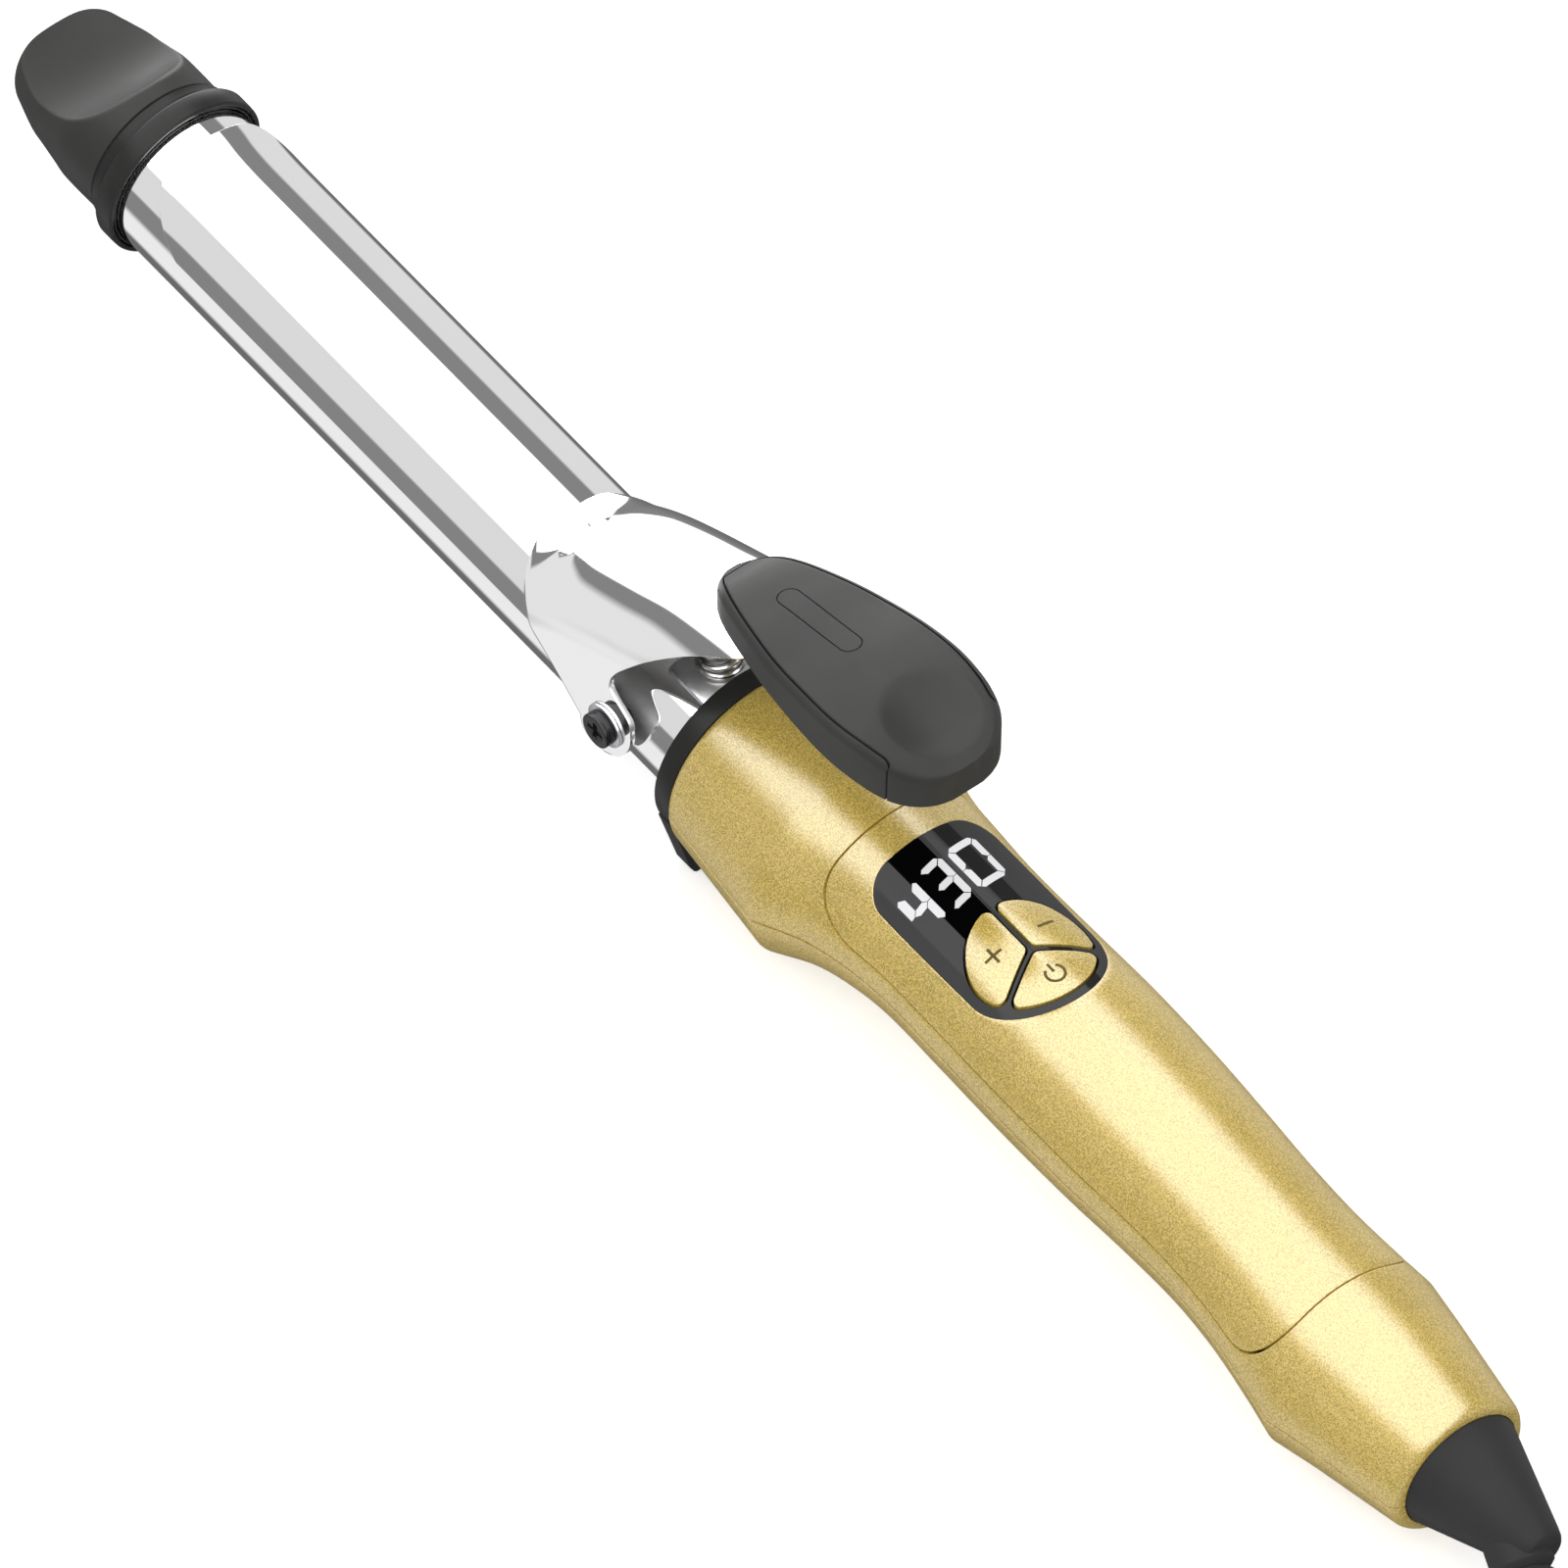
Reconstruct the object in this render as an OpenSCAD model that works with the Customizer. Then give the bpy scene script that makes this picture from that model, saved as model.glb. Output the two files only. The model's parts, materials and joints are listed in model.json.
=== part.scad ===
// Curling iron: a chromed barrel with a sprung clip, a display handle and a swivel cord.
// Pieces are drawn about the barrel's axis, tip towards +X, with X = 0 at the collar's front face.
// at_rest() then sets the iron down on its foot and on the rear bulge of its handle.

/* [Barrel] */
// Outer diameter of the heated barrel
barrel_d = 25.4; // [24.6:0.1:26.2]
// Wall of the barrel tube
barrel_wall = 1.1; // [0.8:0.1:1.4]
// Bare length of the barrel between the collar and the tip collar
barrel_len = 132.8; // [120:0.4:160]
// Width of the ceramic heater plate
heater_w = 9; // [7:0.5:11]

/* [Tip] */
// Length of the cool tip, from its mouth to its end
tip_len = 31.7; // [28:0.1:36]
// Diameter of the tip collar's flange
tip_flange_d = 29.4; // [28.6:0.2:32]
// Diameter of the cool tip's body
tip_body_d = 25.2; // [24:0.2:26]
// Thickness of the tip between its two finger scoops
tip_grip_t = 9; // [7:0.5:11]

/* [Clip] */
// Thickness of the clip's curved plate
clip_t = 0.8; // [0.6:0.1:1]
// Gap between the barrel and the clip
clip_gap = 0.3; // [0.25:0.05:0.5]
// Half of the angle that the clip wraps round the barrel
clip_wrap = 73; // [64:1:76]
// Bare barrel left in front of the clip
clip_setback = 4.8; // [3:0.2:8]
// Thickness of the pressed saddle
saddle_t = 0.9; // [0.7:0.1:1.1]
// Distance of the clip's pivot in front of the collar
pivot_x = 13; // [12.4:0.2:13.6]
// Height of the clip's pivot above the barrel's axis
pivot_z = 2; // [1.4:0.2:2.6]
// Shoulder diameter of the pivot screws
pivot_d = 3.9; // [3.4:0.1:4.2]
// Outer diameter of the clip's spring
spring_d = 8; // [7:0.2:9]
// Wire of the clip's spring
spring_wire = 1; // [0.8:0.1:1.2]

/* [Lever] */
// Length of the thumb lever
lever_len = 55.7; // [52:0.1:60]
// Greatest width of the thumb lever
lever_w = 25.2; // [22:0.2:28]
// Thickness of the lever's inlaid cap
cap_t = 1.6; // [1.2:0.1:2]
// Rim of the base that shows round the cap
cap_inset = 1.2; // [0.8:0.1:1.8]
// Width of the screw cover in the lever
plug_w = 3.9; // [3.5:0.1:4.6]

/* [Handle] */
// Distance between the handle's two bulges
grip_len = 117.3; // [112:0.1:124]
// Radius of the handle at its front bulge
front_bulge_r = 19.45; // [19:0.05:20]
// Radius of the handle at its waist
waist_r = 15.1; // [14.8:0.1:15.4]
// Radius of the handle at its rear bulge
rear_bulge_r = 16.3; // [15.9:0.1:16.8]
// Wall of the handle's two shells
shell_wall = 2.2; // [1.9:0.1:2.4]
// Thickness of the top panel
panel_t = 1.4; // [1.1:0.1:1.6]
// Half of the angle that the top panel covers
panel_wrap = 76; // [72:1:80]

/* [Stand] */
// Diameter of the black collar
collar_d = 32.2; // [31.6:0.2:33.4]
// Thickness of the collar and its foot
collar_t = 3.4; // [2.8:0.1:4]
// Height of the barrel's axis above the foot's edge
foot_drop = 20.4; // [19.8:0.1:22]
// Width of the foot at its bottom
foot_w = 23.2; // [20:0.2:25]

/* [Display] */
// Width of the display window
window_w = 22.2; // [20:0.2:23.4]
// Length of the display window
window_len = 37.7; // [34:0.1:39]
// Diameter of the ring of three buttons
button_ring_d = 19.2; // [17:0.2:20]
// Width of the web between the buttons
button_web = 1.3; // [1:0.1:1.8]
// Travel of a button
button_travel = 0.6; // [0.4:0.1:0.8]

/* [Swivel] */
// Radius of the swivel boot where it leaves the handle
boot_r = 10.9; // [10:0.1:11.2]
// Radius of the boot's journal in its bush
journal_r = 6; // [5.4:0.1:6.6]
// Diameter of the strain relief where it leaves the boot
relief_d = 9.7; // [9:0.1:10.4]
// Length of the strain relief
relief_len = 28; // [22:0.5:34]

/* [Cord] */
// Diameter of the cord
cord_d = 5.6; // [5:0.1:6.2]
// Straight part of the folded hank
hank_run = 96; // [88:1:104]

/* [Hidden] */
$fn = 72;

// Clearances
fit = 0.05;       // running fit and close seats, per side
seat = 0.1;       // loose seats, per side
reach = 60;       // half-size of cutting blocks

// Barrel
barrel_r = barrel_d / 2;
bore_r = barrel_r - barrel_wall;
barrel_tail = 26;
barrel_end = barrel_len + 3.4;

// Cool tip
flange_r = tip_flange_d / 2;
tip_r = tip_body_d / 2;
collar_ring_len = 6.2;
tip_seam = barrel_len + collar_ring_len;
tip_end = barrel_len + tip_len;
tip_wall = 1.8;
scoop_r = 18.4;

// Clip
clip_r = barrel_r + clip_gap;
clip_top = clip_r + clip_t;
clip_rear = 20;
clip_front = barrel_len - clip_setback;
saddle_r = clip_top + saddle_t + 0.1;
quarter = saddle_r * PI / 2;

// Handle: knots of distance behind the collar's face, from one bulge to the other
front_bulge = 27;
rear_bulge = front_bulge + grip_len;
handle_end = rear_bulge + 26.7;
front_r = 16.7;
rear_r = 11.9;
edge_r = 1.4;
rear_opening_r = boot_r + 0.3;

// ---- curves -------------------------------------------------------------

// Slope of a smooth curve at knot i of the list k of [x, y]
function slope(k, i) =
    let (a = max(i - 1, 0), b = min(i + 1, len(k) - 1))
    (k[b][1] - k[a][1]) / (k[b][0] - k[a][0]);

// Index of the span of k that holds x
function span(k, x, i = 0) =
    i >= len(k) - 2 || x <= k[i + 1][0] ? i : span(k, x, i + 1);

// Smooth curve through the knots k, with x rising
function curve(k, x) =
    let (i = span(k, x), h = k[i + 1][0] - k[i][0], t = (x - k[i][0]) / h,
        m0 = slope(k, i) * h, m1 = slope(k, i + 1) * h)
    (2 * pow(t, 3) - 3 * pow(t, 2) + 1) * k[i][1] + (pow(t, 3) - 2 * pow(t, 2) + t) * m0
    + (3 * pow(t, 2) - 2 * pow(t, 3)) * k[i + 1][1] + (pow(t, 3) - pow(t, 2)) * m1;

function mix(a, b, t) = a + (b - a) * t;
function unit(v) = v / norm(v);
function steps(a, b, n) = [for (i = [0:n]) mix(a, b, i / n)];
// Fall of a quarter-round of radius r at a distance t from its edge
function round_off(t, r) = t >= r ? 0 : r - sqrt(r * r - pow(r - max(t, 0), 2));

// ---- solids from grids --------------------------------------------------

function quad(a, b, c, d) = [[a, b, c], [a, c, d]];
function band(a, b, n) = [for (i = [0:n - 2]) each quad(a[i], b[i], b[i + 1], a[i + 1])];

// Closed solid between two grids of points that have the same rows and columns
module between(upper, lower) {
    n = len(upper);
    m = len(upper[0]);
    k = n * m;
    rows = [for (i = [0:n - 1]) [for (j = [0:m - 1]) i * m + j]];
    cols = [for (j = [0:m - 1]) [for (i = [0:n - 1]) i * m + j]];
    polyhedron(
        points = concat([for (r = upper) each r], [for (r = lower) each r]),
        faces = concat(
            [for (i = [0:n - 2]) each band(rows[i], rows[i + 1], m)],
            [for (i = [0:n - 2]) each band(rows[i + 1] + ones(m) * k, rows[i] + ones(m) * k, m)],
            band(rows[0] + ones(m) * k, rows[0], m),
            band(rows[n - 1], rows[n - 1] + ones(m) * k, m),
            band(cols[0], cols[0] + ones(n) * k, n),
            band(cols[m - 1] + ones(n) * k, cols[m - 1], n)),
        convexity = 6);
}
function ones(n) = [for (i = [1:n]) 1];

// Tube of the given sides along the points, with flat ends square to the first and last stretch
module tube(pts, r, sides) {
    n = len(pts);
    dirs = [for (i = [0:n - 1]) unit(pts[min(i + 1, n - 1)] - pts[max(i - 1, 0)])];
    side = [for (d = dirs) unit(cross(abs(d[2]) > 0.9 ? [1, 0, 0] : [0, 0, 1], d))];
    ring = [for (i = [0:n - 1]) for (j = [0:sides - 1])
        pts[i] + r * (cos(360 * j / sides) * side[i]
            + sin(360 * j / sides) * cross(dirs[i], side[i]))];
    polyhedron(
        points = ring,
        faces = concat(
            [[for (j = [0:sides - 1]) j]],
            [for (i = [0:n - 2]) for (j = [0:sides - 1])
                each quad(i * sides + j, (i + 1) * sides + j,
                    (i + 1) * sides + (j + 1) % sides, i * sides + (j + 1) % sides)],
            [[for (j = [sides - 1:-1:0]) (n - 1) * sides + j]]),
        convexity = 8);
}

// Rod along X, and a turned solid from [x, radius] points
module rod(x0, x1, r) {
    translate([x0, 0, 0]) rotate([0, 90, 0]) cylinder(h = x1 - x0, r = r);
}
module turned(profile) {
    rotate([0, 90, 0]) rotate_extrude() polygon([for (p = profile) [p[1], p[0]]]);
}
// Pin across the barrel on the side s, from y0 out to y1 at the pivot
module cross_pin(y0, y1, r, s) {
    translate([pivot_x, s * y0, pivot_z]) rotate([-90 * s, 0, 0]) cylinder(h = y1 - y0, r = r);
}
module block(x, y, z) {
    translate([x[0], y[0], z[0]]) cube([x[1] - x[0], y[1] - y[0], z[1] - z[0]]);
}
module post(x, y, z0, z1, r) {
    translate([x, y, z0]) cylinder(h = z1 - z0, r = r);
}
module sides() {
    for (s = [-1, 1]) scale_y(s) children();
}
module scale_y(s) {
    if (s < 0) mirror([0, 1, 0]) children();
    else children();
}

// ---- handle's outer form ------------------------------------------------

// Radius of the waist between the bulges, as [distance, radius], and the rise of its centre
waist_knots = [[0, front_bulge_r], [0.072, waist_r + 2.2], [0.14, waist_r + 0.65],
    [0.213, waist_r], [0.324, waist_r + 0.1], [0.457, waist_r + 0.35], [0.58, waist_r + 0.1],
    [0.685, waist_r - 0.5], [0.784, waist_r - 0.95], [0.865, waist_r - 0.7],
    [0.943, waist_r + 0.25], [1, rear_bulge_r]];
rise_knots = [[0, 0.72], [0.072, 2.75], [0.14, 4.2], [0.213, 4.8], [0.324, 4.83],
    [0.457, 4.86], [0.58, 4.65], [0.685, 4.4], [0.784, 3.63], [0.865, 2.36],
    [0.943, 0.78], [1, -0.5]];

function handle_r(d) =
    d <= front_bulge ? mix(front_r, front_bulge_r, (d - collar_t) / (front_bulge - collar_t))
            - round_off(d - collar_t, edge_r)
    : d <= rear_bulge ? curve(waist_knots, (d - front_bulge) / grip_len)
    : mix(rear_bulge_r, rear_r, (d - rear_bulge) / (handle_end - rear_bulge))
        - round_off(handle_end - d, edge_r) * 0.4;
function handle_rise(d) =
    d <= front_bulge ? 0.72 * (d - collar_t) / (front_bulge - collar_t)
    : d <= rear_bulge ? curve(rise_knots, (d - front_bulge) / grip_len)
    : -0.5 * max(0, 1 - (d - rear_bulge) / 8);
function inner_r(d) = max(handle_r(d) - shell_wall, rear_opening_r);
// Point of the handle's surface at distance d, angle a from the top, sunk by depth
function on_handle(d, a, depth = 0) =
    [-d, (handle_r(d) - depth) * sin(a), handle_rise(d) + (handle_r(d) - depth) * cos(a)];
function in_handle(d, a) =
    [-d, inner_r(d) * sin(a), handle_rise(d) + inner_r(d) * cos(a)];

shell_stations = concat(
    [for (t = [0, 0.15, 0.5, 1]) collar_t + edge_r * t],
    [for (i = [1:2]) mix(collar_t + edge_r, front_bulge, i / 2)],
    [for (i = [1:16]) mix(front_bulge, rear_bulge, i / 16)],
    [for (i = [1:3]) mix(rear_bulge, handle_end - 8, i / 3)],
    [handle_end - 4, handle_end - edge_r, handle_end - edge_r * 0.5, handle_end - edge_r * 0.12,
        handle_end]);

// Part of the handle's shell from angle a0 to a1
module shell(a0, a1, n) {
    between([for (d = shell_stations) [for (a = steps(a0, a1, n)) on_handle(d, a)]],
        [for (d = shell_stations) [for (a = steps(a0, a1, n)) in_handle(d, a)]]);
}

// ---- resting pose -------------------------------------------------------

// The iron rests on its foot's edge and on its rear bulge, so it tilts a little, tip up
rest_drop = rear_bulge_r + 0.5;
tilt = atan((foot_drop - rest_drop) / (rear_bulge - collar_t / 2));
rest_z = foot_drop * cos(tilt) + collar_t / 2 * sin(tilt);
boot_end = handle_end + 19;
middle_x = (tip_end - boot_end) / 2 * cos(tilt);

module at_rest() {
    translate([-middle_x, 0, rest_z]) rotate([0, -tilt, 0]) children();
}
// Point given about the barrel's axis, in the resting frame, and back again
function rested(p) = [p[0] * cos(tilt) - p[2] * sin(tilt) - middle_x, p[1],
    p[0] * sin(tilt) + p[2] * cos(tilt) + rest_z];

// ---- barrel and heater --------------------------------------------------

module barrel_tube() {
    color([0.86, 0.86, 0.85]) at_rest() difference() {
        rod(-barrel_tail, barrel_end, barrel_r);
        rod(-barrel_tail - 1, barrel_end + 1, bore_r);
        sides() cross_pin(bore_r - 3, barrel_r + 1, pivot_d / 2 + fit, 1);
        sides() translate([-barrel_tail + 6, 0, 0]) rotate([-90, 0, 0]) cylinder(h = reach, r = 1.5);
    }
}

heater_t = 3;
heater_x = [pivot_x + 17, barrel_len - 14];
module heater_plate() {
    color([0.93, 0.93, 0.9]) at_rest()
        block(heater_x, [-heater_w / 2, heater_w / 2], [-heater_t / 2, heater_t / 2]);
}

module heat_spreaders() {
    color([0.72, 0.73, 0.75]) at_rest() for (s = [0, 180]) rotate([s, 0, 0])
        difference() {
            rod(heater_x[0] + 2, heater_x[1] - 2, bore_r - fit);
            block([-reach, barrel_len + reach], [-reach, reach], [-reach, heater_t / 2 + fit]);
            // Core that lightens the extrusion, and the groove for the sensor or the fuse
            translate([0, 0, bore_r * 0.58]) rod(heater_x[0] + 1, heater_x[1] - 1, bore_r * 0.2);
            translate([0, bore_r * 0.55, heater_t / 2 + 2.4])
                rod(heater_x[0] + 1, heater_x[0] + 20, 1.5);
        }
}

module thermistor() {
    color([0.75, 0.35, 0.15]) at_rest() translate([heater_x[0], bore_r * 0.55, heater_t / 2 + 2.4]) {
        rod(3, 9, 1.4);
        translate([9, 0, 0]) sphere(r = 1.4);
        for (s = [-1, 1]) translate([0, s * 0.6, 0]) rod(-12, 3, 0.4);
    }
}

module thermal_fuse() {
    color([0.8, 0.8, 0.82]) at_rest() translate([heater_x[0], -bore_r * 0.55, -heater_t / 2 - 2.4]) {
        rod(4, 14, 1.4);
        rod(-12, 4, 0.45);
    }
}

// ---- clip pivot ---------------------------------------------------------

bracket_t = 2;
module pivot_bracket() {
    color([0.6, 0.61, 0.63]) at_rest() difference() {
        intersection() {
            rod(pivot_x - 5, pivot_x + 5, bore_r - fit);
            union() {
                block([pivot_x - 5, pivot_x + 5], [-reach, reach], [-reach, pivot_z - 7]);
                sides() block([pivot_x - 5, pivot_x + 5],
                    [bore_r - bracket_t - 1.6, reach], [-reach, pivot_z + 4]);
            }
        }
        sides() cross_pin(bore_r - reach / 10, bore_r + 1, screw_r + fit, 1);
    }
}

ear_y = saddle_r;
washer_t = 0.5;
head_r = 2.9;
head_t = 1.7;
screw_r = 1.45;
module pivot_washers() {
    color([0.8, 0.72, 0.5]) at_rest() sides() difference() {
        cross_pin(ear_y + fit, ear_y + fit + washer_t, head_r + 0.85, 1);
        cross_pin(ear_y - 1, ear_y + 2, pivot_d / 2 + fit, 1);
    }
}

module pivot_screws() {
    head_y = ear_y + washer_t + 2 * fit;
    color([0.13, 0.13, 0.14]) at_rest() sides() difference() {
        union() {
            cross_pin(head_y, head_y + head_t, head_r, 1);
            cross_pin(bore_r + fit, head_y, pivot_d / 2, 1);
            cross_pin(bore_r - 4.4, bore_r + fit, screw_r, 1);
        }
        for (a = [0, 90]) translate([pivot_x, head_y + head_t, pivot_z]) rotate([0, a, 0])
            cube([3.4, 2, 0.9], center = true);
    }
}

// ---- clip ---------------------------------------------------------------

corner_len = 12;
corner_w = 7;
module clip_shell() {
    edge_y = clip_top * sin(clip_wrap) + 0.05;
    corner = [for (a = [0:10:90])
        [clip_front - corner_len * (1 - sin(a)), edge_y - corner_w * (1 - cos(a))]];
    color([0.9, 0.9, 0.89]) at_rest() difference() {
        intersection() {
            rotate([0, 90, 0]) rotate([0, 0, 180 - clip_wrap])
                rotate_extrude(angle = 2 * clip_wrap)
                    polygon([[clip_r, clip_rear], [clip_r, clip_front - 10],
                        [clip_r + 0.15, clip_front - 4], [clip_r + 0.6, clip_front],
                        [clip_top + 0.6, clip_front], [clip_top + 0.15, clip_front - 4],
                        [clip_top, clip_front - 10], [clip_top, clip_rear]]);
            linear_extrude(height = reach) polygon(concat([[clip_rear - 1, -edge_y - 1]],
                [for (p = corner) [p[0], -p[1]]], [for (i = [9:-1:0]) corner[i]],
                [[clip_rear - 1, edge_y + 1]]));
        }
        post(rivet_x, 0, 0, reach, rivet_r + fit);
    }
}

// The saddle is one pressed sheet. Its section is an arch of radius saddle_r on straight sides,
// and its crown climbs from the clip's plate to the lever. A row of the sheet keeps a constant
// girth w, measured from the crown down the arch.
crown_knots = [[-38, saddle_r + 26.8], [-20, saddle_r + 25.4], [-8, saddle_r + 23.2],
    [3, saddle_r + 19.6], [11.5, saddle_r + 15.5], [20.6, saddle_r + 11.3],
    [29.8, saddle_r + 6.1], [35.5, saddle_r + 1.9], [40, saddle_r + 0.1], [46, saddle_r]];
function crown(x) = curve(crown_knots, x);
// The arch flattens into the tongue that carries the lever
function flatness(x) = min(1, max(0, (2 - x) / 12));

// Edges of the sheet at girth w: front, and rear of the arch
front_knots = [[0, 40], [6.3, 40], [11.9, 37.6], [16.1, 35], [20.7, 32], [24.8, 28.8],
    [31.9, 23.2], [37, 19.2]];
rear_knots = [[0, -3], [5, -2.6], [9.4, -0.6], [14.4, 4], [19.1, 8.5], [23.2, 12.4], [26.7, 13.3],
    [29.4, 11.6], [33.4, 8.4], [37, 8]];
ear_w = 37;
ear_end = 43;
function ear_arc(w) = sqrt(max(0, 1 - pow((w - ear_w) / (ear_end - ear_w), 2)));
function saddle_front(w) = w <= ear_w ? curve(front_knots, w) : pivot_x + 6.2 * ear_arc(w);
function saddle_rear(w) = w <= ear_w ? curve(rear_knots, w) : pivot_x - 5 * ear_arc(w);
// Length of the tongue behind the arch at girth w
function tongue(w) = w < 5 ? 35 - pow(w / 5, 8) * 3 : w < 8 ? 35 * (8 - w) / 3.4 + 0.6 : 0.6;

function saddle_point(x, w, s, r) =
    let (g = min(w, quarter), down = max(0, w - quarter), f = flatness(x),
        y = r * sin(g / saddle_r * 180 / PI), drop = saddle_r - r + r * (1 - cos(g / saddle_r * 180 / PI)))
    [x, s * mix(y, w, f), crown(x) - mix(drop, saddle_r - r, f) - down];

saddle_girths = [0, 2.4, 4.8, 6.8, 9.4, 12, 14.6, 17.2, 19.8, 22.4, 24.8, 27.4, 30.4, 33.4,
    37, 39, 40.8, 42, 42.7, 42.99];
function saddle_row(w, s, r) = concat(
    [for (t = steps(0, 1, 10)) saddle_point(mix(saddle_front(w), saddle_rear(w), t), w, s, r)],
    [for (t = steps(0, 1, 3)) if (t > 0)
        saddle_point(saddle_rear(w) - tongue(w) * t, w, s, r)]);
function saddle_grid(r) = concat(
    [for (i = [len(saddle_girths) - 1:-1:1]) saddle_row(saddle_girths[i], 1, r)],
    [for (w = saddle_girths) saddle_row(w, -1, r)]);

module clip_saddle() {
    color([0.88, 0.88, 0.87]) at_rest() difference() {
        between(saddle_grid(saddle_r), saddle_grid(saddle_r - saddle_t));
        sides() cross_pin(saddle_r - 3, saddle_r + 3, pivot_d / 2 + fit, 1);
        for (x = lever_screw_x) post(x, 0, 0, reach, 1.2);
        post(rivet_x, 0, 0, reach, rivet_r + fit);
    }
}

// Rivet through the saddle and the clip's plate; its low round head lies on the sheet's slope
rivet_x = 37;
rivet_r = 1.2;
rivet_head_r = 1.9;
rivet_slope = atan((crown(rivet_x - 1) - crown(rivet_x + 1)) / 2);
module clip_rivet() {
    ball = rivet_head_r * 1.7;
    color([0.8, 0.8, 0.8]) at_rest() difference() {
        union() {
            translate([rivet_x, 0, crown(rivet_x)]) rotate([0, rivet_slope, 0])
                intersection() {
                    translate([0, 0, 0.85 - ball]) sphere(r = ball);
                    translate([0, 0, 0.25]) cylinder(h = 3, r = rivet_head_r);
                }
            post(rivet_x, 0, clip_r, crown(rivet_x) + 0.4, rivet_r);
        }
        rod(0, barrel_len, clip_r + 0.02);
    }
}

// Compression spring between the seat on the barrel and the saddle
spring_x = 5.2;
spring_turns = 6;
spring_foot = barrel_r + 0.8 + fit;
spring_lean = (crown(spring_x - 2) - crown(spring_x + 2)) / 4;
spring_top = crown(spring_x) - (saddle_t + 0.4) * sqrt(1 + spring_lean * spring_lean) - 0.25;
module clip_spring() {
    r = (spring_d - spring_wire) / 2;
    rise = spring_top - spring_foot - spring_wire - 0.1;
    color([0.75, 0.75, 0.74]) at_rest() translate([spring_x, 0, spring_foot + spring_wire / 2 + 0.05])
        tube([for (i = [0:spring_turns * 10]) let (t = i / (spring_turns * 10), a = i * 36)
            [r * cos(a), r * sin(a), (rise - spring_lean * r * cos(a)) * t]], spring_wire / 2, 6);
}

module spring_seat() {
    color([0.7, 0.7, 0.7]) at_rest() {
        difference() {
            intersection() {
                rod(1.2, 9.6, barrel_r + 0.8);
                block([0, 12], [-6, 6], [0, reach]);
            }
            rod(-1, 12, barrel_r + 0.02);
        }
        post(spring_x, 0, barrel_r + 0.3, barrel_r + 4.2, spring_d / 2 - spring_wire - 0.3);
    }
}

// ---- lever --------------------------------------------------------------

lever_front = 2.7;
lever_rear = lever_front - lever_len;
cap_split = lever_rear + 6.2;
dimple_x = lever_rear + 11.2;
dimple_r = 6.8;
lever_screw_x = [-11.5, -24];
// Centre line of the top, and half of the plan outline, as [distance behind the front, value]
top_knots = [[0, 38.9], [5, 42.6], [14.2, 45.6], [22.4, 47.6], [32.3, 49.9], [44.5, 51.3],
    [51, 50.4], [55.7, 48.6]];
outline_knots = [[0, 0.18], [1, 0.31], [3, 0.45], [7, 0.6], [14, 0.755], [22, 0.885], [31, 0.97],
    [38, 1], [44, 0.985], [48.5, 0.92], [51.5, 0.8], [54, 0.6], [55.2, 0.4], [55.7, 0.22]];
function lever_d(x) = (lever_front - x) * 55.7 / lever_len;
function lever_half(x) = lever_w / 2 * curve(outline_knots, lever_d(x));
function dimple(x, y) =
    let (q = norm([x - dimple_x, y]) / dimple_r)
    q >= 1 ? 0 : 1.5 * pow(1 - q * q, 2);
// Height of the lever's top at [x, y], crowned across and rounded over at its edge
function lever_top(x, y) =
    let (h = lever_half(x), e = h - abs(y))
    curve(top_knots, lever_d(x)) - 1.5 * pow(y / (lever_w / 2), 2) - round_off(e, 1.6) * 0.9
    - dimple(x, y);
function lever_bottom(x) = x > -38 ? crown(x) + fit : crown(-38) + fit + (-38 - x) * 0.05;

lever_stations = concat(
    [for (t = [0, 0.8, 2, 4, 7, 10.5, 14, 18, 22, 26, 30, 33.5]) lever_front - t * lever_len / 55.7],
    [for (t = [36.1:2.66:49.5]) lever_front - t * lever_len / 55.7]);
rear_stations = [for (t = [49.55, 51, 52.4, 53.8, 54.9, 55.7]) lever_front - t * lever_len / 55.7];
lever_lanes = [-1, -0.96, -0.84, -0.56, -0.28, 0, 0.28, 0.56, 0.84, 0.96, 1];

// Block of the lever from the stations xs, set in by inset, from its top to a depth or its bottom
module lever_block(xs, inset, depth, lift = 0) {
    between(
        [for (x = xs) [for (v = lever_lanes) let (y = v * (lever_half(x) - inset))
            [x, y, lever_top(x, y) + lift]]],
        [for (x = xs) [for (v = lever_lanes) let (y = v * (lever_half(x) - inset))
            [x, y, depth > 0 ? lever_top(x, y) - depth : lever_bottom(x)]]]);
}
inlay_stations = [for (x = lever_stations) if (x < lever_front - cap_inset) x];

module lever_base() {
    color([0.2, 0.2, 0.21]) at_rest() difference() {
        lever_block(lever_stations, 0, 0);
        lever_block(concat(inlay_stations, [rear_stations[0] - 1]), cap_inset - fit, cap_t + fit, 3);
        for (x = lever_screw_x) post(x, 0, 0, reach, 1.2);
    }
}

module lever_cap() {
    color([0.23, 0.23, 0.24]) at_rest() difference() {
        union() {
            lever_block(concat(inlay_stations, [rear_stations[0]]), cap_inset, cap_t);
            lever_block(rear_stations, 0, 0);
        }
        plug_slot(plug_w / 2, 0);
        for (x = lever_screw_x) post(x, 0, 0, reach, 1.2);
    }
}

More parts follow.
